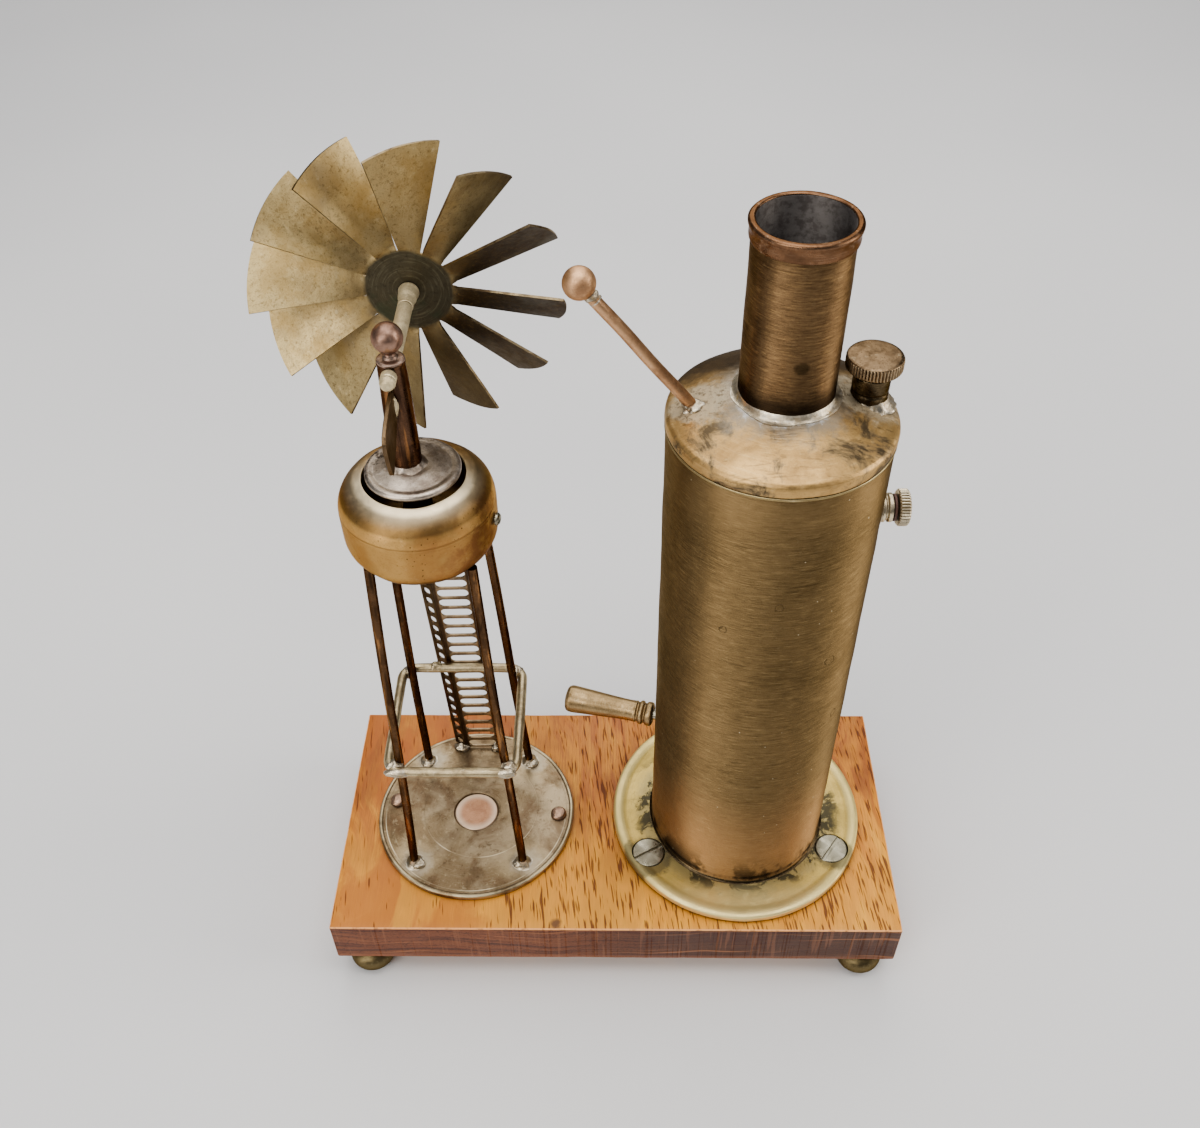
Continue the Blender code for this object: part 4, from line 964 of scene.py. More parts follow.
def chimney_metal():
    """Chimney: warm brown brass with fine hoops, one round dark spot and a dark foot."""
    def extra(shade, colour, roughness, height):
        x, y, z = shade.split(shade.place)
        colour, height = brushed(
            shade, colour, height, 320.0, 3000.0, srgb(60, 42, 24), srgb(178, 142, 90), 0.42
        )
        foot = shade.fit(z + shade.mottle(260.0, 4.0) * 0.006, 0.0095, 0.0045)
        colour = shade.mix(foot * 0.9, colour, srgb(34, 26, 18))
        mark = shade.spot((0.0008, -0.0089, 0.0105), 0.0013, 0.0004, 0.0006, 900.0)
        colour = shade.mix(mark * 0.7, colour, srgb(46, 36, 20))
        flat = shade.radius()
        inside = shade.fit(flat, 0.0087, 0.0085)
        sooty = shade.mix(
            shade.fit(shade.mottle(500.0, 4.0, 0.7), 0.42, 0.62), srgb(114, 109, 106), srgb(88, 82, 79)
        )
        colour = shade.mix(inside, colour, sooty)
        roughness = roughness + inside * 0.3
        return colour, roughness, height

    return aged_metal(
        "chimney_metal", srgb(118, 92, 62), srgb(84, 64, 42), srgb(162, 134, 96),
        rough=(0.46, 0.52), patch=110.0, patches=0.5, grain=0.3, wear=0.4, grime_and_shade=0.3, bumpy=0.4, brush=0.88,
        extra=extra,
    )


def streaked(name, base, dark, light, seed):
    """Drawn rod: dark bronze with thin golden and dark streaks along it: drawn marks and painted
    highlights.
    """
    def extra(shade, colour, roughness, height):
        # Streaks along the rod: drawn marks and painted highlights.
        along = shade.noise(shade.stretch((900.0, 900.0, 45.0), (seed, 0.0, seed)), 1.0, 3.0, 0.6)
        colour = shade.mix(shade.fit(along, 0.54, 0.66, 0.0, 0.55), colour, light)
        colour = shade.mix(shade.fit(along, 0.46, 0.34, 0.0, 0.7), colour, dark)
        return colour, roughness, height

    return aged_metal(
        name,
        base,
        dark,
        light,
        rough=(0.24, 0.36),
        patch=200.0,
        patches=0.5,
        grain=0.25,
        wear=0.0,
        grime_and_shade=0.5,
        bumpy=0.2,
        seed=seed,
        extra=extra,
    )


SOLDER = solder()
OLD_BRASS = aged_metal(
    "old_brass", srgb(150, 128, 82), srgb(96, 78, 48), srgb(214, 196, 150),
    rough=(0.3, 0.46), grain=0.4, lines=0.15, wear=0.6, grime_and_shade=0.6,
)
# Painted shade: the feet are a darker copy of the old brass, since they stand in the base's shade.
FOOT_BRASS = aged_metal(
    "foot_brass", srgb(106, 92, 62), srgb(66, 56, 38), srgb(158, 142, 104),
    rough=(0.36, 0.5), grain=0.5, lines=0.1, wear=0.3, grime_and_shade=0.7, grime_and_shade_reach=0.006, seed=4.0,
)
BRONZE = streaked("bronze_rod", srgb(84, 60, 40), srgb(36, 25, 17), srgb(172, 122, 74), 2.0)
POST_BRONZE = streaked("post_bronze", srgb(82, 58, 42), srgb(38, 26, 20), srgb(164, 112, 66), 5.0)
VANE_METAL = aged_metal(
    "vane_metal", srgb(84, 66, 48), srgb(46, 34, 26), srgb(140, 116, 84),
    rough=(0.36, 0.5), patch=200.0, patches=0.7, grain=0.5, wear=0.5, grime_and_shade=0.4, seed=15.0,
)
LADDER_METAL = aged_metal(
    "ladder_metal", srgb(148, 128, 100), srgb(84, 66, 48), srgb(214, 194, 160),
    rough=(0.34, 0.5), patch=200.0, patches=0.7, grain=0.4, wear=0.0, grime_and_shade=0.4, grime_and_shade_reach=0.0012,
    extra=lambda shade, colour, roughness, height: (
        shade.mix(
            shade.fit(abs(shade.split(shade.place)[0] - 0.0046), 0.0036, 0.0040, 0.0, 0.85),
            colour,
            srgb(60, 46, 34),
        ),
        roughness,
        height,
    ),
)
# Painted shade: the ladder's folded flange is a darker copy of the ladder metal.
FLANGE_STRIP = aged_metal(
    "ladder_side", srgb(96, 78, 58), srgb(48, 38, 28), srgb(180, 156, 122),
    rough=(0.34, 0.5), patch=200.0, patches=0.7, grain=0.4, wear=0.0, grime_and_shade=0.4, grime_and_shade_reach=0.0012, seed=1.5,
)
RAIL_METAL = aged_metal(
    "rail_metal", srgb(190, 172, 134), srgb(124, 104, 74), srgb(236, 224, 196),
    rough=(0.32, 0.46), patch=300.0, patches=0.65, grain=0.55, wear=0.2, grime_and_shade=0.4, bumpy=0.7,
)
COPPER = aged_metal(
    "copper", srgb(204, 160, 118), srgb(140, 100, 70), srgb(236, 206, 168),
    rough=(0.44, 0.56), patch=230.0, patches=0.7, grain=0.45, wear=0.3, grime_and_shade=0.6, bumpy=0.3, seed=1.0,
)
BALL_METAL = aged_metal(
    "ball_metal", srgb(150, 118, 100), srgb(92, 68, 56), srgb(226, 206, 194),
    rough=(0.34, 0.46), patch=260.0, patches=0.6, grain=0.3, wear=0.2, grime_and_shade=0.5, bumpy=0.25, seed=2.0,
)
COLLAR_METAL = aged_metal(
    "collar_metal",
    srgb(176, 150, 134),
    srgb(110, 86, 72),
    srgb(226, 210, 198),
    rough=(0.3, 0.42),
    patch=300.0,
    patches=0.7,
    grain=0.4,
    wear=0.2,
    grime_and_shade=0.6,
    grime_and_shade_reach=0.001,
    bumpy=0.3,
    seed=12.0,
)
RIM_METAL = aged_metal(
    "rim_metal", srgb(112, 80, 56), srgb(66, 46, 32), srgb(214, 184, 152),
    rough=(0.26, 0.4), patch=220.0, patches=0.55, grain=0.35, lines=0.15, wear=0.5, grime_and_shade=0.7, seed=5.0,
)


def turntable_stain(shade, colour, roughness, height):
    """Dark blots, most of them on the side away from the post."""
    blots = shade.fit(shade.mottle(520.0, 4.0, 0.75), 0.5, 0.62)
    x, y, z = shade.split(shade.place)
    colour = shade.mix(blots * shade.fit(y - x, -0.002, 0.010, 0.1, 0.8), colour, srgb(52, 42, 34))
    return colour, roughness, height


TURNTABLE_METAL = aged_metal(
    "turntable_metal",
    srgb(196, 182, 166),
    srgb(112, 96, 82),
    srgb(236, 228, 218),
    rough=(0.32, 0.44),
    patch=190.0,
    patches=0.8,
    grain=0.55,
    lines=0.1,
    wear=0.0,
    grime_and_shade=0.6,
    bumpy=0.5,
    seed=6.0,
    extra=turntable_stain,
)
SLEEVE_METAL = aged_metal(
    "sleeve_metal",
    srgb(222, 206, 166),
    srgb(168, 148, 110),
    srgb(242, 232, 200),
    rough=(0.44, 0.56),
    patch=300.0,
    patches=0.6,
    grain=0.6,
    wear=0.2,
    grime_and_shade=0.4,
    grime_and_shade_reach=0.0012,
    metallic=0.75,
    bumpy=0.6,
    seed=7.0,
)
PLUG_METAL = aged_metal(
    "plug_metal", srgb(200, 148, 112), srgb(156, 106, 78), srgb(236, 204, 172),
    rough=(0.4, 0.52), patch=170.0, patches=0.6, grain=0.45, wear=0.3, grime_and_shade=0.2, metallic=0.75, seed=8.0,
    extra=lambda shade, colour, roughness, height: (
        shade.mix(shade.fit(shade.radius(), 0.0034, 0.0052, 0.0, 0.85), colour, srgb(234, 206, 176)),
        roughness,
        height,
    ),
)
PIN_METAL = aged_metal(
    "pin_metal",
    srgb(170, 138, 114),
    srgb(110, 82, 62),
    srgb(226, 206, 184),
    rough=(0.32, 0.44),
    patch=260.0,
    patches=0.6,
    grain=0.4,
    wear=0.2,
    grime_and_shade=0.7,
    grime_and_shade_reach=0.0012,
    seed=13.0,
)
STEEL = aged_metal(
    "steel", srgb(144, 138, 118), srgb(92, 86, 70), srgb(206, 200, 178),
    rough=(0.28, 0.4), patch=300.0, patches=0.6, grain=0.45, wear=0.4, grime_and_shade=0.15, grime_and_shade_reach=0.0008,
)
KNURL_METAL = aged_metal(
    "knurl_metal",
    srgb(124, 102, 76),
    srgb(70, 54, 38),
    srgb(206, 184, 146),
    rough=(0.28, 0.42),
    patch=260.0,
    patches=0.7,
    grain=0.5,
    wear=0.4,
    grime_and_shade=0.7,
    grime_and_shade_reach=0.001,
    bumpy=0.4,
    seed=9.0,
    extra=lambda shade,
    colour,
    roughness,
    height: (
        shade.mix(
            shade.fit(shade.cells(shade.place, 1500.0), 0.3, 0.15) * 0.55,
            colour,
            srgb(58, 44, 28),
        ),
        roughness,
        height,
    ),
)
PLUG_SILVER = aged_metal(
    "plug_silver", srgb(206, 190, 158), srgb(138, 120, 92), srgb(240, 230, 206),
    rough=(0.26, 0.4), patch=240.0, patches=0.5, grain=0.4, wear=0.3, grime_and_shade=0.6, grime_and_shade_reach=0.001, seed=14.0,
)
DARK_NECK = aged_metal(
    "dark_neck", srgb(70, 58, 40), srgb(30, 24, 18), srgb(176, 152, 112),
    rough=(0.22, 0.36), patch=260.0, patches=0.7, grain=0.5, lines=0.2, wear=0.3, grime_and_shade=0.6, seed=10.0,
)
HANDLE_METAL = aged_metal(
    "handle_metal",
    srgb(166, 138, 96),
    srgb(96, 76, 46),
    srgb(226, 206, 164),
    rough=(0.3, 0.42),
    patch=150.0,
    patches=0.4,
    grain=0.4,
    lines=0.3,
    line_scale=3600.0,
    wear=0.2,
    grime_and_shade=0.6,
    grime_and_shade_reach=0.0015,
    seed=11.0,
)
SOOT = aged_metal(
    "soot", srgb(50, 46, 42), srgb(24, 22, 22), srgb(96, 84, 66),
    rough=(0.6, 0.8), patch=200.0, patches=0.8, grain=0.5, wear=0.2, grime_and_shade=0.4, metallic=0.4, bumpy=0.6,
)
FIBRE = aged_metal(
    "fibre", srgb(84, 52, 40), srgb(48, 30, 24), srgb(128, 90, 70),
    rough=(0.6, 0.75), grain=0.5, wear=0.2, metallic=0.0, bumpy=0.6,
)
COTTON = aged_metal(
    "cotton", srgb(206, 196, 174), srgb(150, 136, 110), srgb(232, 226, 210),
    rough=(0.85, 0.95), patch=900.0, grain=0.6, wear=0.0, metallic=0.0, bumpy=0.9,
    extra=lambda shade, colour, roughness, height: (
        shade.mix(shade.fit(shade.split(shade.place)[2], 0.0215, 0.0236), colour, srgb(34, 28, 24)),
        roughness,
        height,
    ),
)


# ---------------------------------------------------------------- base and feet

def build_base():
    low = low_of("oak_base")
    high = high_of("oak_base")
    centre = Vector(((low.x + high.x) / 2, (low.y + high.y) / 2, low.z))
    shape = bmesh.new()
    bmesh.ops.create_cube(shape, size=1.0)
    size = high - low
    shape.transform(Matrix.Translation((0, 0, size.z / 2)) @ Matrix.Diagonal((*size, 1.0)))
    for axis, cuts in ((0, 56), (1, 28), (2, 6)):
        for number in range(1, cuts):
            at = Vector((0, 0, 0))
            at[axis] = (0.0 if axis == 2 else -size[axis] / 2) + size[axis] * number / cuts
            normal = Vector((0, 0, 0))
            normal[axis] = 1.0
            parts = shape.verts[:] + shape.edges[:] + shape.faces[:]
            bmesh.ops.bisect_plane(shape, geom=parts, plane_co=at, plane_no=normal)
    rim = [edge for edge in shape.edges if len(edge.link_faces) == 2 and edge.calc_face_angle(0.0) > 1.0]
    bmesh.ops.bevel(shape, geom=rim, offset=0.42 * MM, segments=3, affect="EDGES", profile=0.5)
    for vert in shape.verts:
        wear = noise.noise(vert.co * 420.0) * 0.07 + noise.noise(vert.co * 60.0) * 0.08
        inward = Vector((-vert.co.x, -vert.co.y, size.z / 2 - vert.co.z))
        near_edge = sum(
            abs(abs(value) - half) < 0.6 * MM
            for value, half in (
                (vert.co.x, size.x / 2), (vert.co.y, size.y / 2), (vert.co.z - size.z / 2, size.z / 2)
            )
        )
        if near_edge >= 2:
            pull = Vector([math.copysign(1.0, value) for value in inward])
            vert.co += pull * max(wear, 0.0) * MM
    settle(shape)
    block = to_object("oak_block", shape, Matrix.Translation(centre))
    dress(block, "stand", oak(), "oak_base")

    top = (low.z - 0.1 * MM) / MM
    outline = [
        (0.0, 0.0),
        (3.6, 0.0),
        *arc((2.8, 3.9), 3.0, -62, 62, 14),
        (3.2, top - 0.5),
        (3.2, top),
        (0.0, top),
    ]
    for name in ("foot_front_left", "foot_front_right", "foot_back_left", "foot_back_right"):
        foot = lathe(name + "_bun", outline, foot_of(name), segments=64, corner=0.1)
        dress(foot, "stand", FOOT_BRASS, name)


# ------------------------------------------------------------------------ tower

def build_plate():
    place = foot_of("tower_plate")
    radius = radius_of("tower_plate")
    plug = radius_of("centre_plug")
    outline = [
        (plug + 0.15, 0.0),
        (radius, 0.0),
        (radius, 0.95),
        (radius - 0.35, 1.25),
        (radius - 0.8, 1.22),
        (radius - 1.15, 1.0),
        (radius * 0.8, 0.98),
        (radius * 0.55, 1.0),
        (plug + 1.2, 1.0),
        (plug + 0.35, 0.92),
        (plug + 0.15, 0.7),
    ]
    plate = lathe("tower_disc", outline, place, segments=160, corner=0.1, uneven=0.12)
    dress(plate, "stand", plate_metal(), "tower_plate")
    centre = foot_of("centre_plug")
    outline = [
        (0.0, 0.0),
        (plug, 0.0),
        (plug, 0.5),
        (plug - 0.25, 0.72),
        (plug - 0.8, 0.66),
        (plug * 0.4, 0.7),
        (0.0, 0.72),
    ]
    button = lathe("copper_button", outline, centre, segments=96, uneven=0.1)
    dress(button, "stand", PLUG_METAL, "centre_plug")
    for name in ("plate_pin_left", "plate_pin_right"):
        top = head_of(name)
        outline = [
            (0.0, -9.5),
            (0.6, -8.6),
            (0.6, -1.25),
            (2.05, -1.25),
            (2.0, -0.7),
            (1.55, -0.2),
            (0.8, 0.0),
            (0.0, 0.02),
        ]
        pin = lathe(name + "_dome", outline, top, segments=48)
        dress(pin, "stand", PIN_METAL, name)


LEG_RADIUS = 1.05 * MM


def plate_face():
    """Height of the plate's flat inside its rim, where solder stands."""
    return high_of("tower_plate").z - 0.25 * MM


def leg_points(name):
    """The legs lean inwards as they rise, so the box's corners give both ends."""
    low = low_of("tower_leg_" + name)
    high = high_of("tower_leg_" + name)
    centre = middle_of("tower_leg_" + name)
    lean_x = (high.x - low.x) / 2 - LEG_RADIUS
    lean_y = (high.y - low.y) / 2 - LEG_RADIUS
    tower = middle_of("tower_plate")
    out_x = math.copysign(1.0, centre.x - tower.x)
    out_y = math.copysign(1.0, centre.y - tower.y)
    foot = Vector((centre.x + out_x * lean_x, centre.y + out_y * lean_y, low.z))
    top = Vector((centre.x - out_x * lean_x, centre.y - out_y * lean_y, high.z))
    return foot, top


LEGS = ("front_left", "front_right", "back_left", "back_right")


def build_legs():
    plate_top = plate_face()
    for number, name in enumerate(LEGS):
        foot, top = leg_points(name)
        top += (top - foot).normalized() * 1.3 * MM
        points = []
        for step in range(41):
            share = step / 40
            wave = math.sin(math.pi * share * 2.0 + number) * 0.12 * MM
            points.append(foot.lerp(top, share) + Vector((wave, wave * 0.5, 0)))
        leg = piped("leg_" + name, points, LEG_RADIUS, sides=24)
        dress(leg, "stand", BRONZE, "tower_leg_" + name)
        base = at_height(foot, plate_top)
        solder_on(fillet("solder_foot_" + name, base, 1.0, 2.5, 1.7, 3.0 + number * 1.7, ragged=0.16))
        side = Vector((math.cos(number * 2.3), -abs(math.sin(number * 2.3 + 0.6)), 0.0)) * 1.1 * MM
        solder_on(
            blob(
                "solder_drop_" + name,
                base + side + Vector((0, 0, 0.3 * MM)),
                (1.7, 1.5, 0.8),
                13.0 + number,
                rough=0.2,
            )
        )


def rail_outline():
    """Centre line of the gallery rail: a rectangle with round corners, from its box."""
    radius = 1.15 * MM
    low = low_of("gallery_rail") + Vector((radius, radius, 0))
    high = high_of("gallery_rail") - Vector((radius, radius, 0))
    z = middle_of("gallery_rail").z
    bend = 3.7 * MM
    points = []
    for x, y, start in (
        (high.x, high.y, 0), (low.x, high.y, 90), (low.x, low.y, 180), (high.x, low.y, 270)
    ):
        inner_x = x - math.copysign(bend, x - (low.x + high.x) / 2)
        inner_y = y - math.copysign(bend, y - (low.y + high.y) / 2)
        points += [Vector((px, py, z)) for px, py in arc((inner_x, inner_y), bend, start, start + 90, 10)]
    full = []
    for index, point in enumerate(points):
        after = points[(index + 1) % len(points)]
        full.append(point)
        gap = (after - point).length
        for step in range(1, max(int(gap / (1.6 * MM)), 1)):
            full.append(point.lerp(after, step * 1.6 * MM / gap))
    return full


def build_rail():
    points = rail_outline()
    for index, point in enumerate(points):
        sag = noise.noise_vector(point * 90.0) * 0.18 * MM
        points[index] = point + sag
    lumpy = [1.0 + 0.08 * noise.noise(point * 300.0) for point in points]
    rail = piped(
        "gallery_ring",
        points,
        1.17 * MM,
        sides=28,
        closed=True,
        swell=lambda share: lumpy[round(share * len(points))],
    )
    dress(rail, "stand", RAIL_METAL, "gallery_rail")
    z = middle_of("gallery_rail").z
    low = low_of("gallery_rail")
    high = high_of("gallery_rail")
    for number, name in enumerate(LEGS):
        foot, top = leg_points(name)
        at = foot.lerp(top, (z - foot.z) / (top.z - foot.z))
        out_x = math.copysign(1.0, at.x - middle_of("tower_plate").x)
        out_y = math.copysign(1.0, at.y - middle_of("tower_plate").y)
        joint = at + Vector((out_x * 1.0, out_y * 1.0, 0.1)) * MM
        size = (2.0, 1.8, 1.5) if name.startswith("front") else (1.6, 1.5, 1.6)
        solder_on(blob("solder_rail_" + name, joint, size, 5.0 + number, rough=0.2))
    solder_on(
        blob(
            "solder_rail_run",
            Vector((low.x + 3.9 * MM, low.y + 1.0 * MM, z)),
            (3.4, 1.3, 1.25),
            21.0,
            rough=0.12,
        )
    )
    solder_on(
        blob(
            "solder_rail_end",
            Vector((high.x - 3.6 * MM, low.y + 1.0 * MM, z)),
            (2.6, 1.3, 1.25),
            23.0,
            rough=0.14,
        )
    )
    lump = blob(
        "rail_lump",
        Vector((low.x + 9.2 * MM, high.y - 1.1 * MM, z + 0.5 * MM)),
        (1.7, 1.2, 1.1),
        31.0,
        rough=0.3,
    )
    dress(lump, "stand", RAIL_METAL, slot="pale_brass")


def punched_sheet(name, width, length, slots, slot_width, slot_height, thick, matrix):
    """A strip with a row of round-ended slots; x across from 0, z up from 0."""
    curve = bpy.data.curves.new(name, "CURVE")
    curve.dimensions = "2D"
    curve.fill_mode = "BOTH"
    curve.extrude = thick / 2 - 0.09 * MM
    curve.bevel_depth = 0.09 * MM
    curve.bevel_resolution = 1
    curve.offset = -0.09 * MM

    def outline(points):
        spline = curve.splines.new("POLY")
        spline.points.add(len(points) - 1)
        for point, (x, y) in zip(spline.points, points):
            point.co = (x, y, 0.0, 1.0)
        spline.use_cyclic_u = True

    outline([(0, 0), (width, 0), (width, length), (0, length)])
    for number in range(slots):
        share = (number + 0.5) / slots
        middle = length * share * (1.0 + 0.1 * (1.0 - share))
        bend = min(slot_height, slot_width) * 0.42
        half = (slot_width / 2 - bend, slot_height / 2 - bend)
        points = []
        for x, y, start in (
            (half[0], half[1], 0),
            (-half[0], half[1], 90),
            (-half[0], -half[1], 180),
            (half[0], -half[1], 270),
        ):
            for step in range(5):
                angle = math.radians(start + 90 * step / 4)
                points.append((width / 2 + x + bend * math.cos(angle), middle + y + bend * math.sin(angle)))
        outline(points)
    item = bpy.data.objects.new(name, curve)
    bpy.context.scene.collection.objects.link(item)
    bpy.context.view_layer.update()
    graph = bpy.context.evaluated_depsgraph_get()
    mesh = bpy.data.meshes.new_from_object(item.evaluated_get(graph))
    bpy.data.objects.remove(item)
    bpy.data.curves.remove(curve)
    shape = bmesh.new()
    shape.from_mesh(mesh)
    bmesh.ops.remove_doubles(shape, verts=shape.verts, dist=1e-7)
    shape.transform(Matrix.Rotation(math.radians(90), 4, "X"))
    shape.to_mesh(mesh)
    shape.free()
    mesh.name = name
    return new_object(name, mesh, matrix, smooth=35)


def build_ladder():
    low = low_of("ladder")
    high = high_of("ladder")
    slots = 27
    web = 9.2 * MM
    flange = 3.5 * MM
    thick = 0.5 * MM
    drift = -2.6 * MM
    run = (high.y - low.y) - 2.3 * MM
    foot = Vector((high.x - web, low.y + run + 0.25 * MM, low.z + 0.1 * MM))
    rise = high.z - foot.z - 0.3 * MM
    length = Vector((drift, run, rise)).length
    lean = Matrix.Rotation(math.atan2(run, rise), 4, "X")
    place = Matrix.Translation(foot) @ Matrix.Rotation(math.atan2(drift, rise), 4, "Y") @ lean
    pitch = length / slots
    sheet = punched_sheet("ladder_web", web, length, slots, web - 1.9 * MM, pitch * 0.74, thick, place)
    dress(sheet, "stand", LADDER_METAL, "ladder")
    fold = place @ Matrix.Rotation(math.radians(180 - 30), 4, "Z")
    side = punched_sheet(
        "ladder_flange", flange, length, slots, flange - 1.7 * MM, pitch * 0.62, thick, fold
    )
    dress(side, "stand", FLANGE_STRIP, slot="bronze_rod")
    plate_top = plate_face()
    for number, x in enumerate((foot.x - 1.2 * MM, foot.x + web - 1.0 * MM)):
        solder_on(
            blob(
                "solder_ladder_" + ("left", "right")[number],
                Vector((x, foot.y - 0.3 * MM, plate_top + 0.4 * MM)),
                (1.9 - number * 0.7, 1.3, 1.1),
                41.0 + number,
                rough=0.35,
            )
        )


# --------------------------------------------------------------- drum and head

def build_drum():
    place = foot_of("drum")
    radius = radius_of("drum", "y")
    tall = rise_of("drum")
    wall = 1.0
    low_bend = 6.2
    top_bend = 6.8
    low_centre = (radius - low_bend, low_bend)
    top_centre = (radius - top_bend, tall - top_bend)
    mouth = 10.3
    outer = math.degrees(math.acos((mouth - top_centre[0]) / top_bend))
    inner = math.degrees(math.acos((mouth - top_centre[0]) / (top_bend - wall)))
    outline = [
        (3.3, 0.0),
        *arc(low_centre, low_bend, -90, 0, 20),
        (radius + 0.02, top_centre[1] - 0.35),
        (radius - 0.04, top_centre[1] - 0.1),
        *arc(top_centre, top_bend, 3, outer, 20),
        *arc(top_centre, top_bend - wall, inner, 0, 12),
        *arc(low_centre, low_bend - wall, 0, -90, 12),
        (3.3, wall),
    ]
    drum = lathe("drum_body", outline, place, segments=144, corner=0.15, uneven=0.14)
    dress(drum, "stand", drum_metal(), "drum")

    centre = middle_of("drum_screw")
    out = Vector((centre.x - place.x, centre.y - place.y, 0.0)).normalized()
    tip = centre + out * 1.75 * MM
    outline = [(0.0, -3.4), (0.6, -3.2), (0.6, -0.95), (1.35, -0.95), (1.3, -0.5), (0.9, -0.12), (0.0, 0.0)]
    screw = lathe("drum_screw_head", outline, tip, out, segments=40, corner=0.08)
    slot = box_object(
        "slot", (-2 * MM, -0.16 * MM, -0.35 * MM), (2 * MM, 0.16 * MM, 1 * MM), screw.matrix_world.copy()
    )
    carve(screw, slot)
    dress(screw, "stand", STEEL, "drum_screw")

    bush = foot_of("pivot_bush")
    rise = rise_of("pivot_bush")
    outline = [(1.9, 0.0), (4.6, 0.0), (4.6, 0.6), (3.0, 0.6), (3.0, rise), (1.9, rise)]
    dress(lathe("pivot_bearing", outline, bush, segments=64), "stand", OLD_BRASS, "pivot_bush")


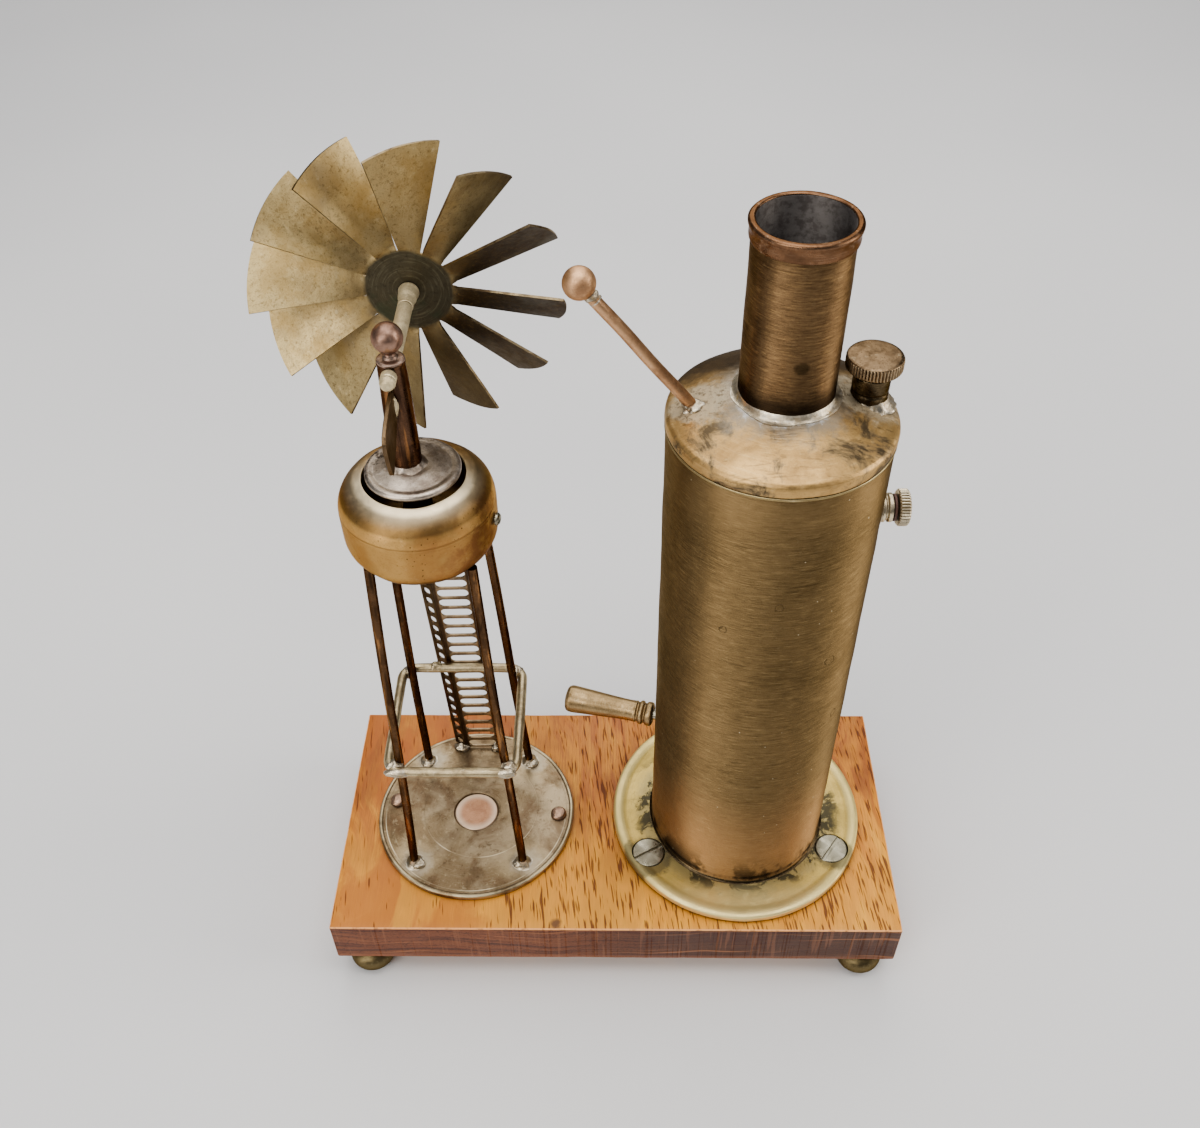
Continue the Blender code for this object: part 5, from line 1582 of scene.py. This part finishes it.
def build_head():
    place = foot_of("turntable")
    outline = [
        (0.0, 0.0), (8.9, 0.0), (9.4, 0.3), (9.5, 0.7), (9.42, 1.05), (9.1, 1.36), (8.6, 1.48), (8.1, 1.42),
        (7.7, 1.36), (6.6, 1.6), (5.2, 2.0), (4.2, 2.2), (0.0, 2.3),
    ]
    top = lathe("head_disc", outline, place, segments=128, corner=0.3, uneven=0.12)
    dress(top, "head", TURNTABLE_METAL, "turntable")

    pin = foot_of("swivel_pin")
    rise = rise_of("swivel_pin")
    dress(
        lathe("swivel_stud", disc(1.55, 0.0, rise), pin, segments=40, corner=0.2),
        "head",
        STEEL,
        "swivel_pin",
    )
    nut_low = low_of("swivel_nut").z
    nut_tall = (high_of("swivel_nut").z - nut_low) / MM
    nut = lathe(
        "swivel_hexagon", tube(3.6, 1.62, 0.0, nut_tall), foot_of("swivel_nut"), segments=6, corner=0.0
    )
    edge = nut.modifiers.new("edges", "BEVEL")
    edge.width = 0.25 * MM
    edge.segments = 2
    dress(nut, "head", OLD_BRASS, "swivel_nut")

    post_foot = foot_of("post")
    tall = rise_of("post")
    outline = [
        (0.0, 0.0),
        (3.05, 0.0),
        (3.02, tall * 0.3),
        (2.8, tall * 0.75),
        (2.62, tall - 1.1),
        (2.72, tall - 0.55),
        (2.6, tall - 0.12),
        (2.3, tall),
        (0.0, tall + 0.05),
    ]
    post = lathe("head_post", outline, post_foot, segments=64, corner=0.2, uneven=0.1)
    height = FAN_CENTRE.z
    bore = lathe(
        "bore", disc(1.12, -8.0, 8.0), at_height(post_foot, height), (0, 1, 0), segments=32, corner=0.0
    )
    bpy.context.view_layer.update()
    carve(post, bore)
    dress(post, "head", POST_BRONZE, "post")
    collar = lathe(
        "post_collar",
        [
            (0.0, -0.5),
            (2.5, -0.5),
            (2.66, -0.3),
            (2.6, 0.12),
            (2.2, 0.3),
            (1.5, 0.42),
            (1.2, 0.9),
            (0.0, 0.9),
        ],
        at_height(post_foot, high_of("post").z - 0.05 * MM),
        segments=64,
        corner=0.1,
    )
    dress(collar, "head", COLLAR_METAL, slot="copper_red")
    base = fillet(
        "solder_post", at_height(post_foot, high_of("turntable").z - 0.25 * MM), 2.95, 4.5, 1.1, 51.0, 0.3
    )
    dress(base, "head", TURNTABLE_METAL, slot="tinned_plate")

    ball_top = head_of("post_ball")
    outline = [*arc((0.0, -2.9), 2.9, 90, -66, 26), (0.95, -6.1), (1.15, -6.6), (0.0, -6.6)][::-1]
    outline = [(max(reach, 0.0), level) for reach, level in outline]
    outline[-1] = (0.0, 0.0)
    ball = lathe("head_ball", outline, ball_top, segments=64, corner=0.0)
    dress(ball, "head", BALL_METAL, "post_ball")

    start = low_of("bearing_sleeve").y
    along = (high_of("bearing_sleeve").y - start) / MM
    outline = [
        (1.0, 0.0), (1.42, 0.0), (1.5, 2.0), (1.5, 5.0), (1.48, along * 0.6), (1.5, along), (1.0, along),
    ]
    sleeve = lathe(
        "axle_sleeve", outline, Vector((post_foot.x, start, height)), (0, 1, 0), segments=48, uneven=0.12
    )
    dress(sleeve, "head", SLEEVE_METAL, "bearing_sleeve")

    vane_low = low_of("tail_vane")
    vane_high = high_of("tail_vane")
    size = vane_high - vane_low
    shares = [
        (0.0, 1.0),
        (0.35, 0.965),
        (0.72, 0.90),
        (0.93, 0.82),
        (1.0, 0.72),
        (0.995, 0.57),
        (0.96, 0.4),
        (0.9, 0.2),
        (0.85, 0.05),
        (0.8, 0.0),
        (0.74, 0.02),
        (0.6, 0.08),
        (0.34, 0.23),
        (0.12, 0.38),
        (0.0, 0.47),
    ]
    shape = bmesh.new()
    ring = [
        shape.verts.new((0.0, vane_high.y - share * size.y, vane_low.z + rise * size.z))
        for share, rise in shares
    ]
    face = shape.faces.new(ring)
    grown = bmesh.ops.extrude_face_region(shape, geom=[face])
    moved = [item for item in grown["geom"] if isinstance(item, bmesh.types.BMVert)]
    bmesh.ops.translate(shape, verts=moved, vec=(size.x, 0, 0))
    settle(shape)
    origin = Vector((0.0, vane_high.y, vane_high.z))
    shape.transform(Matrix.Translation(-origin))
    vane = to_object("vane_plate", shape, Matrix.Translation(origin + Vector((vane_low.x, 0, 0))))
    edge = vane.modifiers.new("edges", "BEVEL")
    edge.width = 0.16 * MM
    edge.segments = 3
    edge.limit_method = "ANGLE"
    dress(vane, "head", VANE_METAL, "tail_vane")
    bead = blob(
        "vane_solder",
        Vector((vane_low.x + 0.4 * MM, vane_high.y - 0.2 * MM, vane_high.z - size.z * 0.3)),
        (0.9, 0.9, 2.6),
        61.0,
        rough=0.25,
    )
    dress(bead, "head", SLEEVE_METAL, slot="pale_brass")


# -------------------------------------------------------------------- fan wheel

FAN = {
    "blades": 12,
    "radius": 31.1,
    "hub": 8.7,
    "phase": 112.7,
    "half": 14.6,
    "neck": 1.0,
    "neck_twist": 0.35,
    "twist": (56, 52, 44, 40, 46, 47, 42, 44, 45, 50, 49, 41),
    "shift": (2.1, -1.1, -0.6, -0.2, -1.8, -2.1, -2.1, -2.1, -1.0, 3.0, 2.7, 1.9),
    "lean": (4.8, 2.8, 2.1, -0.7, -2.5, -2.6, -4.4, -5.0, 0.2, 2.3, 6.0, 7.2),
}


def bent_point(number, radial, side, bend):
    """Point of a blade in mm: radial from the hub, side -1 to 1 across, bend 0 to 1 of its twist."""
    angle = math.radians(FAN["phase"] + 360.0 / FAN["blades"] * number)
    reach = radial - FAN["hub"]
    angle += math.radians(FAN["shift"][number]) * bend
    out = Vector((math.cos(angle), 0, math.sin(angle)))
    across = Vector((-math.sin(angle), 0, math.cos(angle)))
    front = Vector((0, -1, 0))
    twist = math.radians(FAN["twist"][number]) * bend
    share = math.sin(math.radians(180.0 / FAN["blades"]))
    slit = FAN["radius"] * (share - math.sin(math.radians(FAN["half"])))
    offset = side * (radial * share - slit)
    if number == 11 and side > 0.0:
        offset *= 1.0 + 0.09 * reach / (FAN["radius"] - FAN["hub"])
    place = out * math.sqrt(radial * radial - offset * offset)
    place += front * (math.sin(math.radians(FAN["lean"][number])) * reach)
    place += (across * math.cos(twist) + front * math.sin(twist)) * offset
    return place


def blade_point(number, radial, side):
    """Middle surface of one blade in mm, bent at its neck and ruled from there to its tip."""
    neck = FAN["hub"] + FAN["neck"]
    if radial <= neck:
        share = max(radial - FAN["hub"], 0.0) / FAN["neck"]
        return bent_point(number, radial, side, FAN["neck_twist"] * share)
    start = bent_point(number, neck, side, FAN["neck_twist"])
    end = bent_point(number, FAN["radius"], side, 1.0)
    share = (radial - neck) / (FAN["radius"] - neck)
    place = start.lerp(end, share)
    if number == 0 and side < 0.0:
        tips = [bent_point(number, FAN["radius"], edge, 1.0) for edge in (-1.0, 1.0)]
        width = (tips[0] - tips[1]).normalized()
        place += width * (-side * 2.2 * share * (1.0 - share))
    return place + Vector((0, 0.14 * noise.noise(place * 0.16 + Vector((number, 0, 0))) * share, 0))


def build_fan():
    centre = FAN_CENTRE
    wheel = bmesh.new()
    sides = [step / 5.0 - 1.0 for step in range(11)]
    hub = FAN["hub"]
    neck = hub + FAN["neck"]
    radii = [hub + FAN["neck"] * share for share in (0.0, 0.2, 0.4, 0.6, 0.8, 1.0)]
    radii += [neck + (FAN["radius"] - neck) * step / 14.0 for step in range(1, 15)]
    roots = []
    for number in range(FAN["blades"]):
        rows = [
            [wheel.verts.new(blade_point(number, radial, side) * MM) for side in sides]
            for radial in radii
        ]
        for low, high in zip(rows, rows[1:]):
            for step in range(len(sides) - 1):
                wheel.faces.new((low[step], low[step + 1], high[step + 1], high[step]))
        roots.extend(rows[0])
    outer = roots
    for reach in (7.6, 5.8, 3.8, 1.15):
        inner = []
        for vert in roots:
            flat = Vector((vert.co.x, 0.0, vert.co.z)).normalized()
            dish = 0.05 * noise.noise(flat * reach)
            inner.append(wheel.verts.new((flat * reach + Vector((0, dish, 0))) * MM))
        count = len(inner)
        for step in range(count):
            after = (step + 1) % count
            wheel.faces.new((outer[step], inner[step], inner[after], outer[after]))
        outer = inner
    bmesh.ops.recalc_face_normals(wheel, faces=wheel.faces)
    fan = to_object("fan_blades", wheel, Matrix.Translation(centre), smooth=50)
    sheet = fan.modifiers.new("sheet", "SOLIDIFY")
    sheet.thickness = 0.5 * MM
    sheet.offset = 0.0
    sheet.material_offset_rim = 1
    dress(fan, "fan", fan_metal(), "fan_wheel")
    fan.data.materials.append(aged_metal(
        "fan_edge", srgb(150, 132, 100), srgb(76, 58, 40), srgb(226, 212, 184),
        rough=(0.3, 0.44), patch=220.0, patches=0.9, grain=0.3, wear=0.0,
    ))
    bake(fan)

    start = low_of("fan_hub").y
    along = (high_of("fan_hub").y - start) / MM
    place = Vector((centre.x, start, centre.z))
    outline = [
        (0.87, 0.0),
        (1.5, 0.0),
        (1.56, 0.25),
        (1.5, 0.5),
        (1.6, along - 3.6),
        (1.86, along - 2.6),
        (1.96, along - 1.0),
        (2.1, along - 0.35),
        (2.05, along),
        (0.87, along),
    ]
    hub_piece = lathe("fan_collar", outline, place, (0, 1, 0), segments=56, corner=0.2, uneven=0.08)
    dress(hub_piece, "fan", SLEEVE_METAL, "fan_hub")

    start = low_of("fan_axle").y
    along = (high_of("fan_axle").y - start) / MM
    outline = [
        (0.0, 0.0),
        (0.7, 0.06),
        (1.15, 0.4),
        (1.5, 1.2),
        (1.5, 1.75),
        (1.36, 1.9),
        (1.5, 2.1),
        (1.5, 3.5),
        (0.85, 3.5),
        (0.85, along - 0.4),
        (0.55, along),
        (0.0, along),
    ]
    axle = lathe(
        "fan_spindle", outline, Vector((centre.x, start, centre.z)), (0, 1, 0), segments=48, corner=0.15
    )
    dress(axle, "fan", SLEEVE_METAL, "fan_axle")

    start = low_of("fan_nut").y
    outline = [(0.88, 0.0), (2.3, 0.0), (2.3, 1.0), (1.75, 1.65), (0.88, 1.7)]
    nut = lathe(
        "fan_end_nut", outline, Vector((centre.x, start, centre.z)), (0, 1, 0), segments=48, corner=0.15
    )
    dress(nut, "fan", OLD_BRASS, "fan_nut")


# ----------------------------------------------------------------------- boiler

def build_flange():
    place = foot_of("boiler_flange")
    radius = radius_of("boiler_flange")
    face = (low_of("boiler_shell").z - place.z) / MM - 0.3
    outline = [
        (0.0, 0.0),
        (radius - 0.3, 0.0),
        (radius, 0.5),
        (radius - 0.02, face + 0.1),
        (radius - 0.35, face + 0.48),
        (radius - 1.0, face + 0.64),
        (radius - 1.8, face + 0.58),
        (radius - 2.6, face + 0.3),
        (radius - 3.4, face + 0.08),
        (radius - 4.6, face),
        (0.0, face),
    ]
    flange = lathe("boiler_foot_ring", outline, place, segments=192, corner=0.3, uneven=0.06)
    for name in ("left", "right", "back"):
        node = f"flange_screw_{name}"
        centre = head_of(node)
        hole = lathe("hole", disc(4.25, -1.2, 3.0), centre, segments=48, corner=0.0)
        bpy.context.view_layer.update()
        carve(flange, hole)
    dress(flange, "stand", flange_metal(), "boiler_flange")
    for name, turn in (("left", 30.0), ("right", 54.0), ("back", 100.0)):
        node = f"flange_screw_{name}"
        centre = head_of(node)
        outline = [
            (0.0, -11.0),
            (0.8, -11.0),
            (1.5, -8.0),
            (1.5, -3.2),
            (4.1, -0.9),
            (4.1, -0.22),
            (3.85, 0.0),
            (0.0, 0.04),
        ]
        screw = lathe(node + "_head", outline, centre, segments=72, corner=0.12)
        at = Matrix.Translation(centre) @ Matrix.Rotation(math.radians(turn), 4, "Z")
        slot = box_object("slot", (-5 * MM, -0.52 * MM, -0.6 * MM), (5 * MM, 0.52 * MM, 1 * MM), at)
        carve(screw, slot)
        dress(screw, "stand", STEEL, node)


def build_shell():
    place = foot_of("boiler_shell")
    tall = rise_of("boiler_shell")
    radius = radius_of("boiler_shell", "y")
    steps = 24
    outer = [(radius, tall * step / steps) for step in range(steps + 1)]
    outline = [(radius - 0.8, 0.0), *outer, (radius - 0.8, tall)]
    shell = lathe("boiler_barrel", outline, place, segments=176, corner=0.15, uneven=0.12)

    # The fire door is a sector cut out of the wall at the back left.
    door_turn = math.radians(138.0)
    half = math.radians(33.0)
    door_top = 36.7 * MM
    shape = bmesh.new()
    ring = []
    for reach, shares in ((15.0, (1, -1)), (27.5, (-1, -0.5, 0, 0.5, 1))):
        for share in shares:
            angle = door_turn + half * share
            ring.append(shape.verts.new((reach * MM * math.cos(angle), reach * MM * math.sin(angle), -MM)))
    face = shape.faces.new(ring)
    grown = bmesh.ops.extrude_face_region(shape, geom=[face])
    risen = [item for item in grown["geom"] if isinstance(item, bmesh.types.BMVert)]
    bmesh.ops.translate(shape, verts=risen, vec=(0, 0, door_top + MM))
    settle(shape)
    door = to_object("door", shape, Matrix.Translation(place), smooth=0)
    carve(shell, door)
    dress(shell, "stand", shell_metal(), "boiler_shell")
    seam = fillet(
        "barrel_foot_line",
        at_height(place, place.z - 0.25 * MM),
        radius + 0.02,
        radius + 0.75,
        0.55,
        71.0,
        0.2,
    )
    dress(seam, "stand", DARK_NECK, slot="shell_brass")

    crown = foot_of("firebox_crown")
    reach = radius_of("firebox_crown")
    dress(
        lathe("fire_crown", tube(reach, 8.2, 0.0, 1.0), crown, segments=96),
        "stand",
        SOOT,
        "firebox_crown",
    )
    flue = foot_of("flue_tube")
    rise = rise_of("flue_tube")
    dress(lathe("flue_pipe", tube(7.9, 7.2, 0.0, rise), flue, segments=96), "stand", SOOT, "flue_tube")


def build_cap():
    place = foot_of("boiler_shell")
    base = place.z
    crown = (high_of("boiler_cap").z - base) / MM
    radius = radius_of("boiler_cap", "y")
    shell_top = (high_of("boiler_shell").z - base) / MM
    shoulder = crown - 4.4

    def height(reach):
        share = (reach - 8.95) / (21.1 - 8.95)
        return crown + 0.05 - 4.5 * (0.75 * share + 0.25 * share * share)

    top = [(reach, height(reach)) for reach in (8.55, 10.0, 11.5, 13.0, 14.5, 16.0, 17.5, 19.0, 20.0)]
    outline = [
        *top,
        (20.8, height(20.9) + 0.02),
        (radius - 0.6, shoulder - 0.2),
        (radius - 0.12, shoulder - 0.75),
        (radius, shoulder - 1.5),
        (radius, shell_top + 0.95),
        (radius - 0.12, shell_top + 0.45),
        (radius - 0.3, shell_top + 0.3),
        (20.4, shell_top + 0.3),
        (20.4, shell_top - 2.5),
        (19.6, shell_top - 2.5),
        (19.6, shoulder - 1.6),
        *[(reach, level - 0.9) for reach, level in reversed(top[:-2])],
    ]
    cap = lathe("boiler_lid", outline, place, segments=176, corner=0.25, uneven=0.1)
    dress(cap, "stand", cap_metal(), "boiler_cap")
    lap = lathe(
        "lid_lip",
        tube(radius - 0.02, radius - 0.6, 0.0, 0.55),
        at_height(place, high_of("boiler_shell").z - 0.35 * MM),
        segments=176,
        corner=0.2,
    )
    dress(lap, "stand", OLD_BRASS, slot="cap_brass")


def build_chimney():
    place = foot_of("chimney")
    tall = rise_of("chimney")
    radius = radius_of("chimney")
    steps = 16
    outer = [(radius, tall * step / steps) for step in range(steps + 1)]
    outline = [(radius - 0.65, 0.0), *outer, (radius - 0.65, tall)]
    stack = lathe("chimney_stack", outline, place, segments=128, corner=0.1, uneven=0.1)
    dress(stack, "stand", chimney_metal(), "chimney")
    rim = foot_of("chimney_rim")
    reach = radius_of("chimney_rim")
    rise = rise_of("chimney_rim")
    outline = [
        (radius + 0.05, 0.0),
        (radius + 0.3, 0.05),
        (radius + 0.42, 0.5),
        (radius + 0.38, 1.5),
        (radius + 0.5, 2.2),
        (reach, 2.8),
        (reach, rise - 0.35),
        (reach - 0.4, rise),
        (radius - 0.35, rise),
        (radius - 0.62, rise - 0.25),
        (radius - 0.55, rise - 0.38),
        (radius + 0.05, rise - 0.4),
    ]
    band = lathe("chimney_band", outline, rim, segments=128, corner=0.22, uneven=0.05)
    dress(band, "stand", RIM_METAL, "chimney_rim")
    base = at_height(place, place.z - 0.3 * MM)
    solder_on(fillet("solder_chimney", base, radius + 0.02, radius + 1.3, 0.8, 81.0, 0.2, drop=0.3))


def build_jet():
    centre = middle_of("jet_ball")
    pipe_low = low_of("jet_pipe")
    pipe_high = high_of("jet_pipe")
    foot = Vector((pipe_high.x - 0.8 * MM, middle_of("jet_pipe").y, pipe_low.z + 0.7 * MM))
    axis = (centre - foot).normalized()
    reach = (centre - foot).length - 0.6 * MM
    points = []
    for step in range(31):
        wave = Vector((0, 0, 0.1 * MM * math.sin(step * 0.4)))
        points.append(foot + axis * (reach * step / 30) + wave)
    pipe = piped("jet_tube", points, 1.18 * MM, sides=28)
    dress(pipe, "stand", COPPER, "jet_pipe")
    shape = [*arc((0.0, 0.0), 3.0, -90, 90, 30)]
    shape[0] = (0.0, -3.0)
    shape[-1] = (0.0, 3.0)
    ball = lathe("jet_bulb", shape, centre, axis, segments=64, corner=0.0, uneven=0.05)
    aim = Vector((-7.0, 20.0, -12.0)).normalized()
    nozzle = lathe("nozzle", disc(0.45, -1.2, 5.0), centre, aim, segments=24, corner=0.0)
    bpy.context.view_layer.update()
    carve(ball, nozzle)
    dress(ball, "stand", COPPER, "jet_ball")
    solder_on(fillet("solder_bulb", centre - axis * 4.3 * MM, 1.0, 1.25, 0.2, 91.0, 0.3, axis=axis))
    solder_on(blob("solder_bulb_joint", centre - axis * 3.15 * MM, (1.5, 1.45, 1.2), 93.0, rough=0.2))
    solder_on(
        blob("solder_jet_foot", foot + Vector((0.2, -0.5, 0.9)) * MM, (2.7, 2.3, 1.1), 95.0, rough=0.42)
    )


def build_filler():
    neck = foot_of("filler_neck")
    rise = rise_of("filler_neck")
    outline = [
        (2.1, 0.0),
        (3.5, 0.0),
        (3.5, rise * 0.5),
        (3.3, rise * 0.56),
        (3.5, rise * 0.62),
        (3.5, rise),
        (2.1, rise),
    ]
    tube_piece = lathe("filler_tube", outline, neck, segments=80, corner=0.15)
    dress(tube_piece, "stand", DARK_NECK, "filler_neck")
    cap_z = high_of("boiler_cap").z
    solder_on(
        fillet("solder_filler", at_height(neck, cap_z - 2.6 * MM), 3.45, 4.9, 1.3, 101.0, 0.3, drop=0.6)
    )
    washer = foot_of("filler_washer")
    thick = rise_of("filler_washer")
    dress(
        lathe("filler_gasket", tube(3.5, 2.1, 0.0, thick), washer, segments=64),
        "filler_seal",
        FIBRE,
        "filler_washer",
    )
    top = head_of("filler_plug")
    radius = radius_of("filler_plug")
    deep = rise_of("filler_plug")
    outline = [
        (0.0, -deep),
        (1.4, -deep),
        (1.7, -deep + 0.3),
        (1.7, -3.0),
        (radius - 0.3, -3.0),
        (radius, -2.7),
        (radius, -1.8),
        (radius, -0.75),
        (radius - 0.25, -0.45),
        (radius - 0.7, -0.28),
        (radius * 0.5, -0.06),
        (0.0, 0.0),
    ]
    knob = lathe("filler_knob", outline, top, segments=312, corner=0.1, ribs=(52, 0.22, -2.85, -0.6))
    dress(knob, "filler_screw", KNURL_METAL, "filler_plug")


def build_level_plug():
    along = (1, 0, 0)
    boss = middle_of("level_boss")
    start = low_of("level_boss").x
    place = Vector((start, boss.y, boss.z))
    outline = [
        (1.9, 0.0), (3.0, 0.0), (3.0, 0.6), (2.6, 0.8), (2.6, 1.1), (3.0, 1.3), (3.0, 2.1), (1.9, 2.1)
    ]
    dress(
        lathe("level_collar", outline, place, along, segments=64, corner=0.12),
        "stand",
        PLUG_SILVER,
        "level_boss",
    )
    solder_on(
        fillet(
            "level_solder",
            Vector((start - 0.35 * MM, boss.y, boss.z)),
            2.9,
            3.6,
            0.5,
            111.0,
            0.3,
            axis=along,
        )
    )
    washer = Vector((low_of("level_washer").x, boss.y, boss.z))
    dress(
        lathe("level_gasket", tube(2.8, 1.9, 0.0, 0.5), washer, along, segments=48),
        "level_seal",
        FIBRE,
        "level_washer",
    )
    end = Vector((high_of("level_plug").x, boss.y, boss.z))
    deep = (high_of("level_plug").x - low_of("level_plug").x) / MM
    outline = [
        (0.0, -deep),
        (1.3, -deep),
        (1.5, -deep + 0.3),
        (1.5, -2.5),
        (3.5, -2.5),
        (3.8, -2.2),
        (3.8, -0.6),
        (3.5, -0.3),
        (2.9, -0.12),
        (2.7, -0.22),
        (1.2, -0.12),
        (0.0, -0.1),
    ]
    knob = lathe("level_knob", outline, end, along, segments=216, corner=0.1, ribs=(36, 0.26, -2.35, -0.45))
    dress(knob, "level_screw", PLUG_SILVER, "level_plug")


def build_burner():
    tank = foot_of("burner_tank")
    tall = rise_of("burner_tank")
    outline = [
        (0.0, 0.0),
        (9.5, 0.0),
        (10.0, 0.5),
        (10.0, tall - 1.0),
        (9.6, tall - 0.3),
        (9.0, tall),
        (3.3, tall),
        (3.3, tall - 0.8),
        (8.8, tall - 0.8),
        (9.2, tall - 1.6),
        (9.2, 0.8),
        (0.0, 0.8),
    ]
    dress(lathe("spirit_tank", outline, tank, segments=96, corner=0.2), "burner", OLD_BRASS, "burner_tank")
    tube_foot = foot_of("wick_tube")
    rise = rise_of("wick_tube")
    dress(
        lathe("wick_holder", tube(3.0, 2.3, 0.0, rise), tube_foot, segments=64),
        "burner",
        SOOT,
        "wick_tube",
    )
    wick = foot_of("wick")
    rise = rise_of("wick")
    outline = [
        (0.0, 0.0),
        (2.0, 0.0),
        *[(2.0, rise * step / 10) for step in range(1, 10)],
        (1.9, rise - 0.5),
        (1.3, rise),
        (0.0, rise - 0.2),
    ]
    cord = lathe(
        "wick_plait", outline, wick, segments=120, corner=0.2, ribs=(10, 0.3, -1.0, 60.0), uneven=0.25
    )
    dress(cord, "burner", COTTON, "wick")

    heading = math.radians(166.0)
    out = Vector((math.cos(heading), math.sin(heading), 0.0))
    height = middle_of("burner_handle").z
    centre = foot_of("burner_tank")
    grip_start = at_height(centre, height) + out * 22.6 * MM
    rise = 7.2 * MM
    bend = 3.0 * MM
    points = [at_height(centre, high_of("burner_tank").z + 0.1 * MM) + out * rise]
    points.append(points[0] + Vector((0, 0, (height - bend) - points[0].z)) * 0.5)
    for along, level in arc((rise + bend, height - bend), bend, 180, 90, 10):
        points.append(at_height(centre, level) + out * along)
    points.append(grip_start + out * 3.0 * MM)
    stem = piped("handle_stem", points, 1.2 * MM, sides=24)
    dress(stem, "burner", STEEL, "burner_stem")
    outline = [
        (1.5, 0.0),
        (2.4, 0.0),
        (3.0, 0.4),
        (3.02, 1.1),
        (2.9, 1.7),
        (2.45, 2.0),
        (2.45, 2.3),
        (2.95, 2.6),
        (3.0, 3.0),
        (2.9, 3.4),
        (2.45, 3.7),
        (2.45, 4.0),
        (2.75, 4.3),
        (2.62, 4.8),
        (2.6, 6.0),
        (2.65, 8.0),
        (2.8, 11.0),
        (3.0, 14.0),
        (3.25, 18.0),
        (3.4, 20.4),
        (3.32, 21.3),
        (2.9, 21.95),
        (1.8, 22.25),
        (0.0, 22.3),
        (0.0, 6.0),
        (1.5, 6.0),
    ]
    grip = lathe("handle_grip", outline, grip_start, out, segments=72, corner=0.25)
    dress(grip, "burner", HANDLE_METAL, "burner_handle")


# ---------------------------------------------------------------- studio, camera

def build_camera():
    data = bpy.data.cameras.new("camera")
    data.sensor_fit = "HORIZONTAL"
    data.sensor_width = 36.0
    data.lens = 35.95
    data.clip_start = 0.01
    yaw, pitch, roll = (math.radians(angle) for angle in (-1.267, 44.265, -0.845))
    forward = Vector((math.sin(yaw) * math.cos(pitch), math.cos(yaw) * math.cos(pitch), -math.sin(pitch)))
    level = Vector((math.cos(yaw), -math.sin(yaw), 0.0))
    up = level.cross(forward)
    right = level * math.cos(roll) + up * math.sin(roll)
    top = up * math.cos(roll) - level * math.sin(roll)
    matrix = Matrix((right, top, -forward)).transposed().to_4x4()
    base = head_of("oak_base")
    matrix.translation = Vector((base.x, 0.0, base.z)) + Vector((0.962, -180.116, 267.65)) * MM
    camera = bpy.data.objects.new("camera", data)
    camera.matrix_world = matrix
    bpy.context.scene.collection.objects.link(camera)
    bpy.context.scene.camera = camera


def area_light(name, place, aim, size, power, colour=(1.0, 1.0, 1.0)):
    data = bpy.data.lights.new(name, "AREA")
    data.shape = "RECTANGLE"
    data.size = size[0]
    data.size_y = size[1]
    data.energy = power
    data.color = colour
    item = bpy.data.objects.new(name, data)
    way = Vector(aim) - Vector(place)
    turn = way.to_track_quat("-Z", "Y").to_matrix().to_4x4()
    item.matrix_world = Matrix.Translation(Vector(place)) @ turn
    bpy.context.scene.collection.objects.link(item)


def build_studio():
    shade = Shade("floor_paint")
    soft = shade.mottle(3.0, 2.0)
    grain = shade.mottle(900.0, 2.0)
    colour = shade.mix(shade.fit(soft, 0.3, 0.7), srgb(214, 214, 216), srgb(222, 222, 223))
    material = shade.finish(colour, 0.75, 0.0, shade.bump(grain, 0.05, 0.0002))
    shape = bmesh.new()
    bmesh.ops.create_grid(shape, x_segments=4, y_segments=4, size=2.5)
    floor = to_object("floor", shape, None, smooth=0)
    floor.data.materials.append(material)
    world = bpy.data.worlds.new("studio")
    world.use_nodes = True
    background = world.node_tree.nodes["Background"]
    background.inputs[0].default_value = (0.78, 0.80, 0.86, 1.0)
    background.inputs[1].default_value = 0.2
    bpy.context.scene.world = world
    area_light("rear_box", (0.02, 0.70, 0.74), (0, 0, 0.08), (0.75, 0.7), 4.4, (1.0, 0.98, 0.95))
    area_light("top_panel", (-0.03, 0.0, 0.95), (0, 0, 0.06), (0.7, 0.9), 9.5, (1.0, 0.98, 0.95))
    area_light("front_box", (-0.35, -0.75, 0.75), (0, 0, 0.10), (0.5, 0.5), 3.6, (1.0, 0.97, 0.93))
    area_light("left_box", (-0.62, -0.58, 0.45), (0, 0, 0.10), (0.26, 0.8), 3.6, (1.0, 0.96, 0.9))
    area_light("right_box", (0.88, -0.05, 0.42), (0, 0, 0.12), (0.45, 0.8), 6.5, (1.0, 0.95, 0.88))


for build in (
    build_camera,
    build_studio,
    build_base,
    build_plate,
    build_legs,
    build_rail,
    build_ladder,
    build_drum,
    build_head,
    build_fan,
    build_flange,
    build_shell,
    build_cap,
    build_chimney,
    build_jet,
    build_filler,
    build_level_plug,
    build_burner,
):
    build()
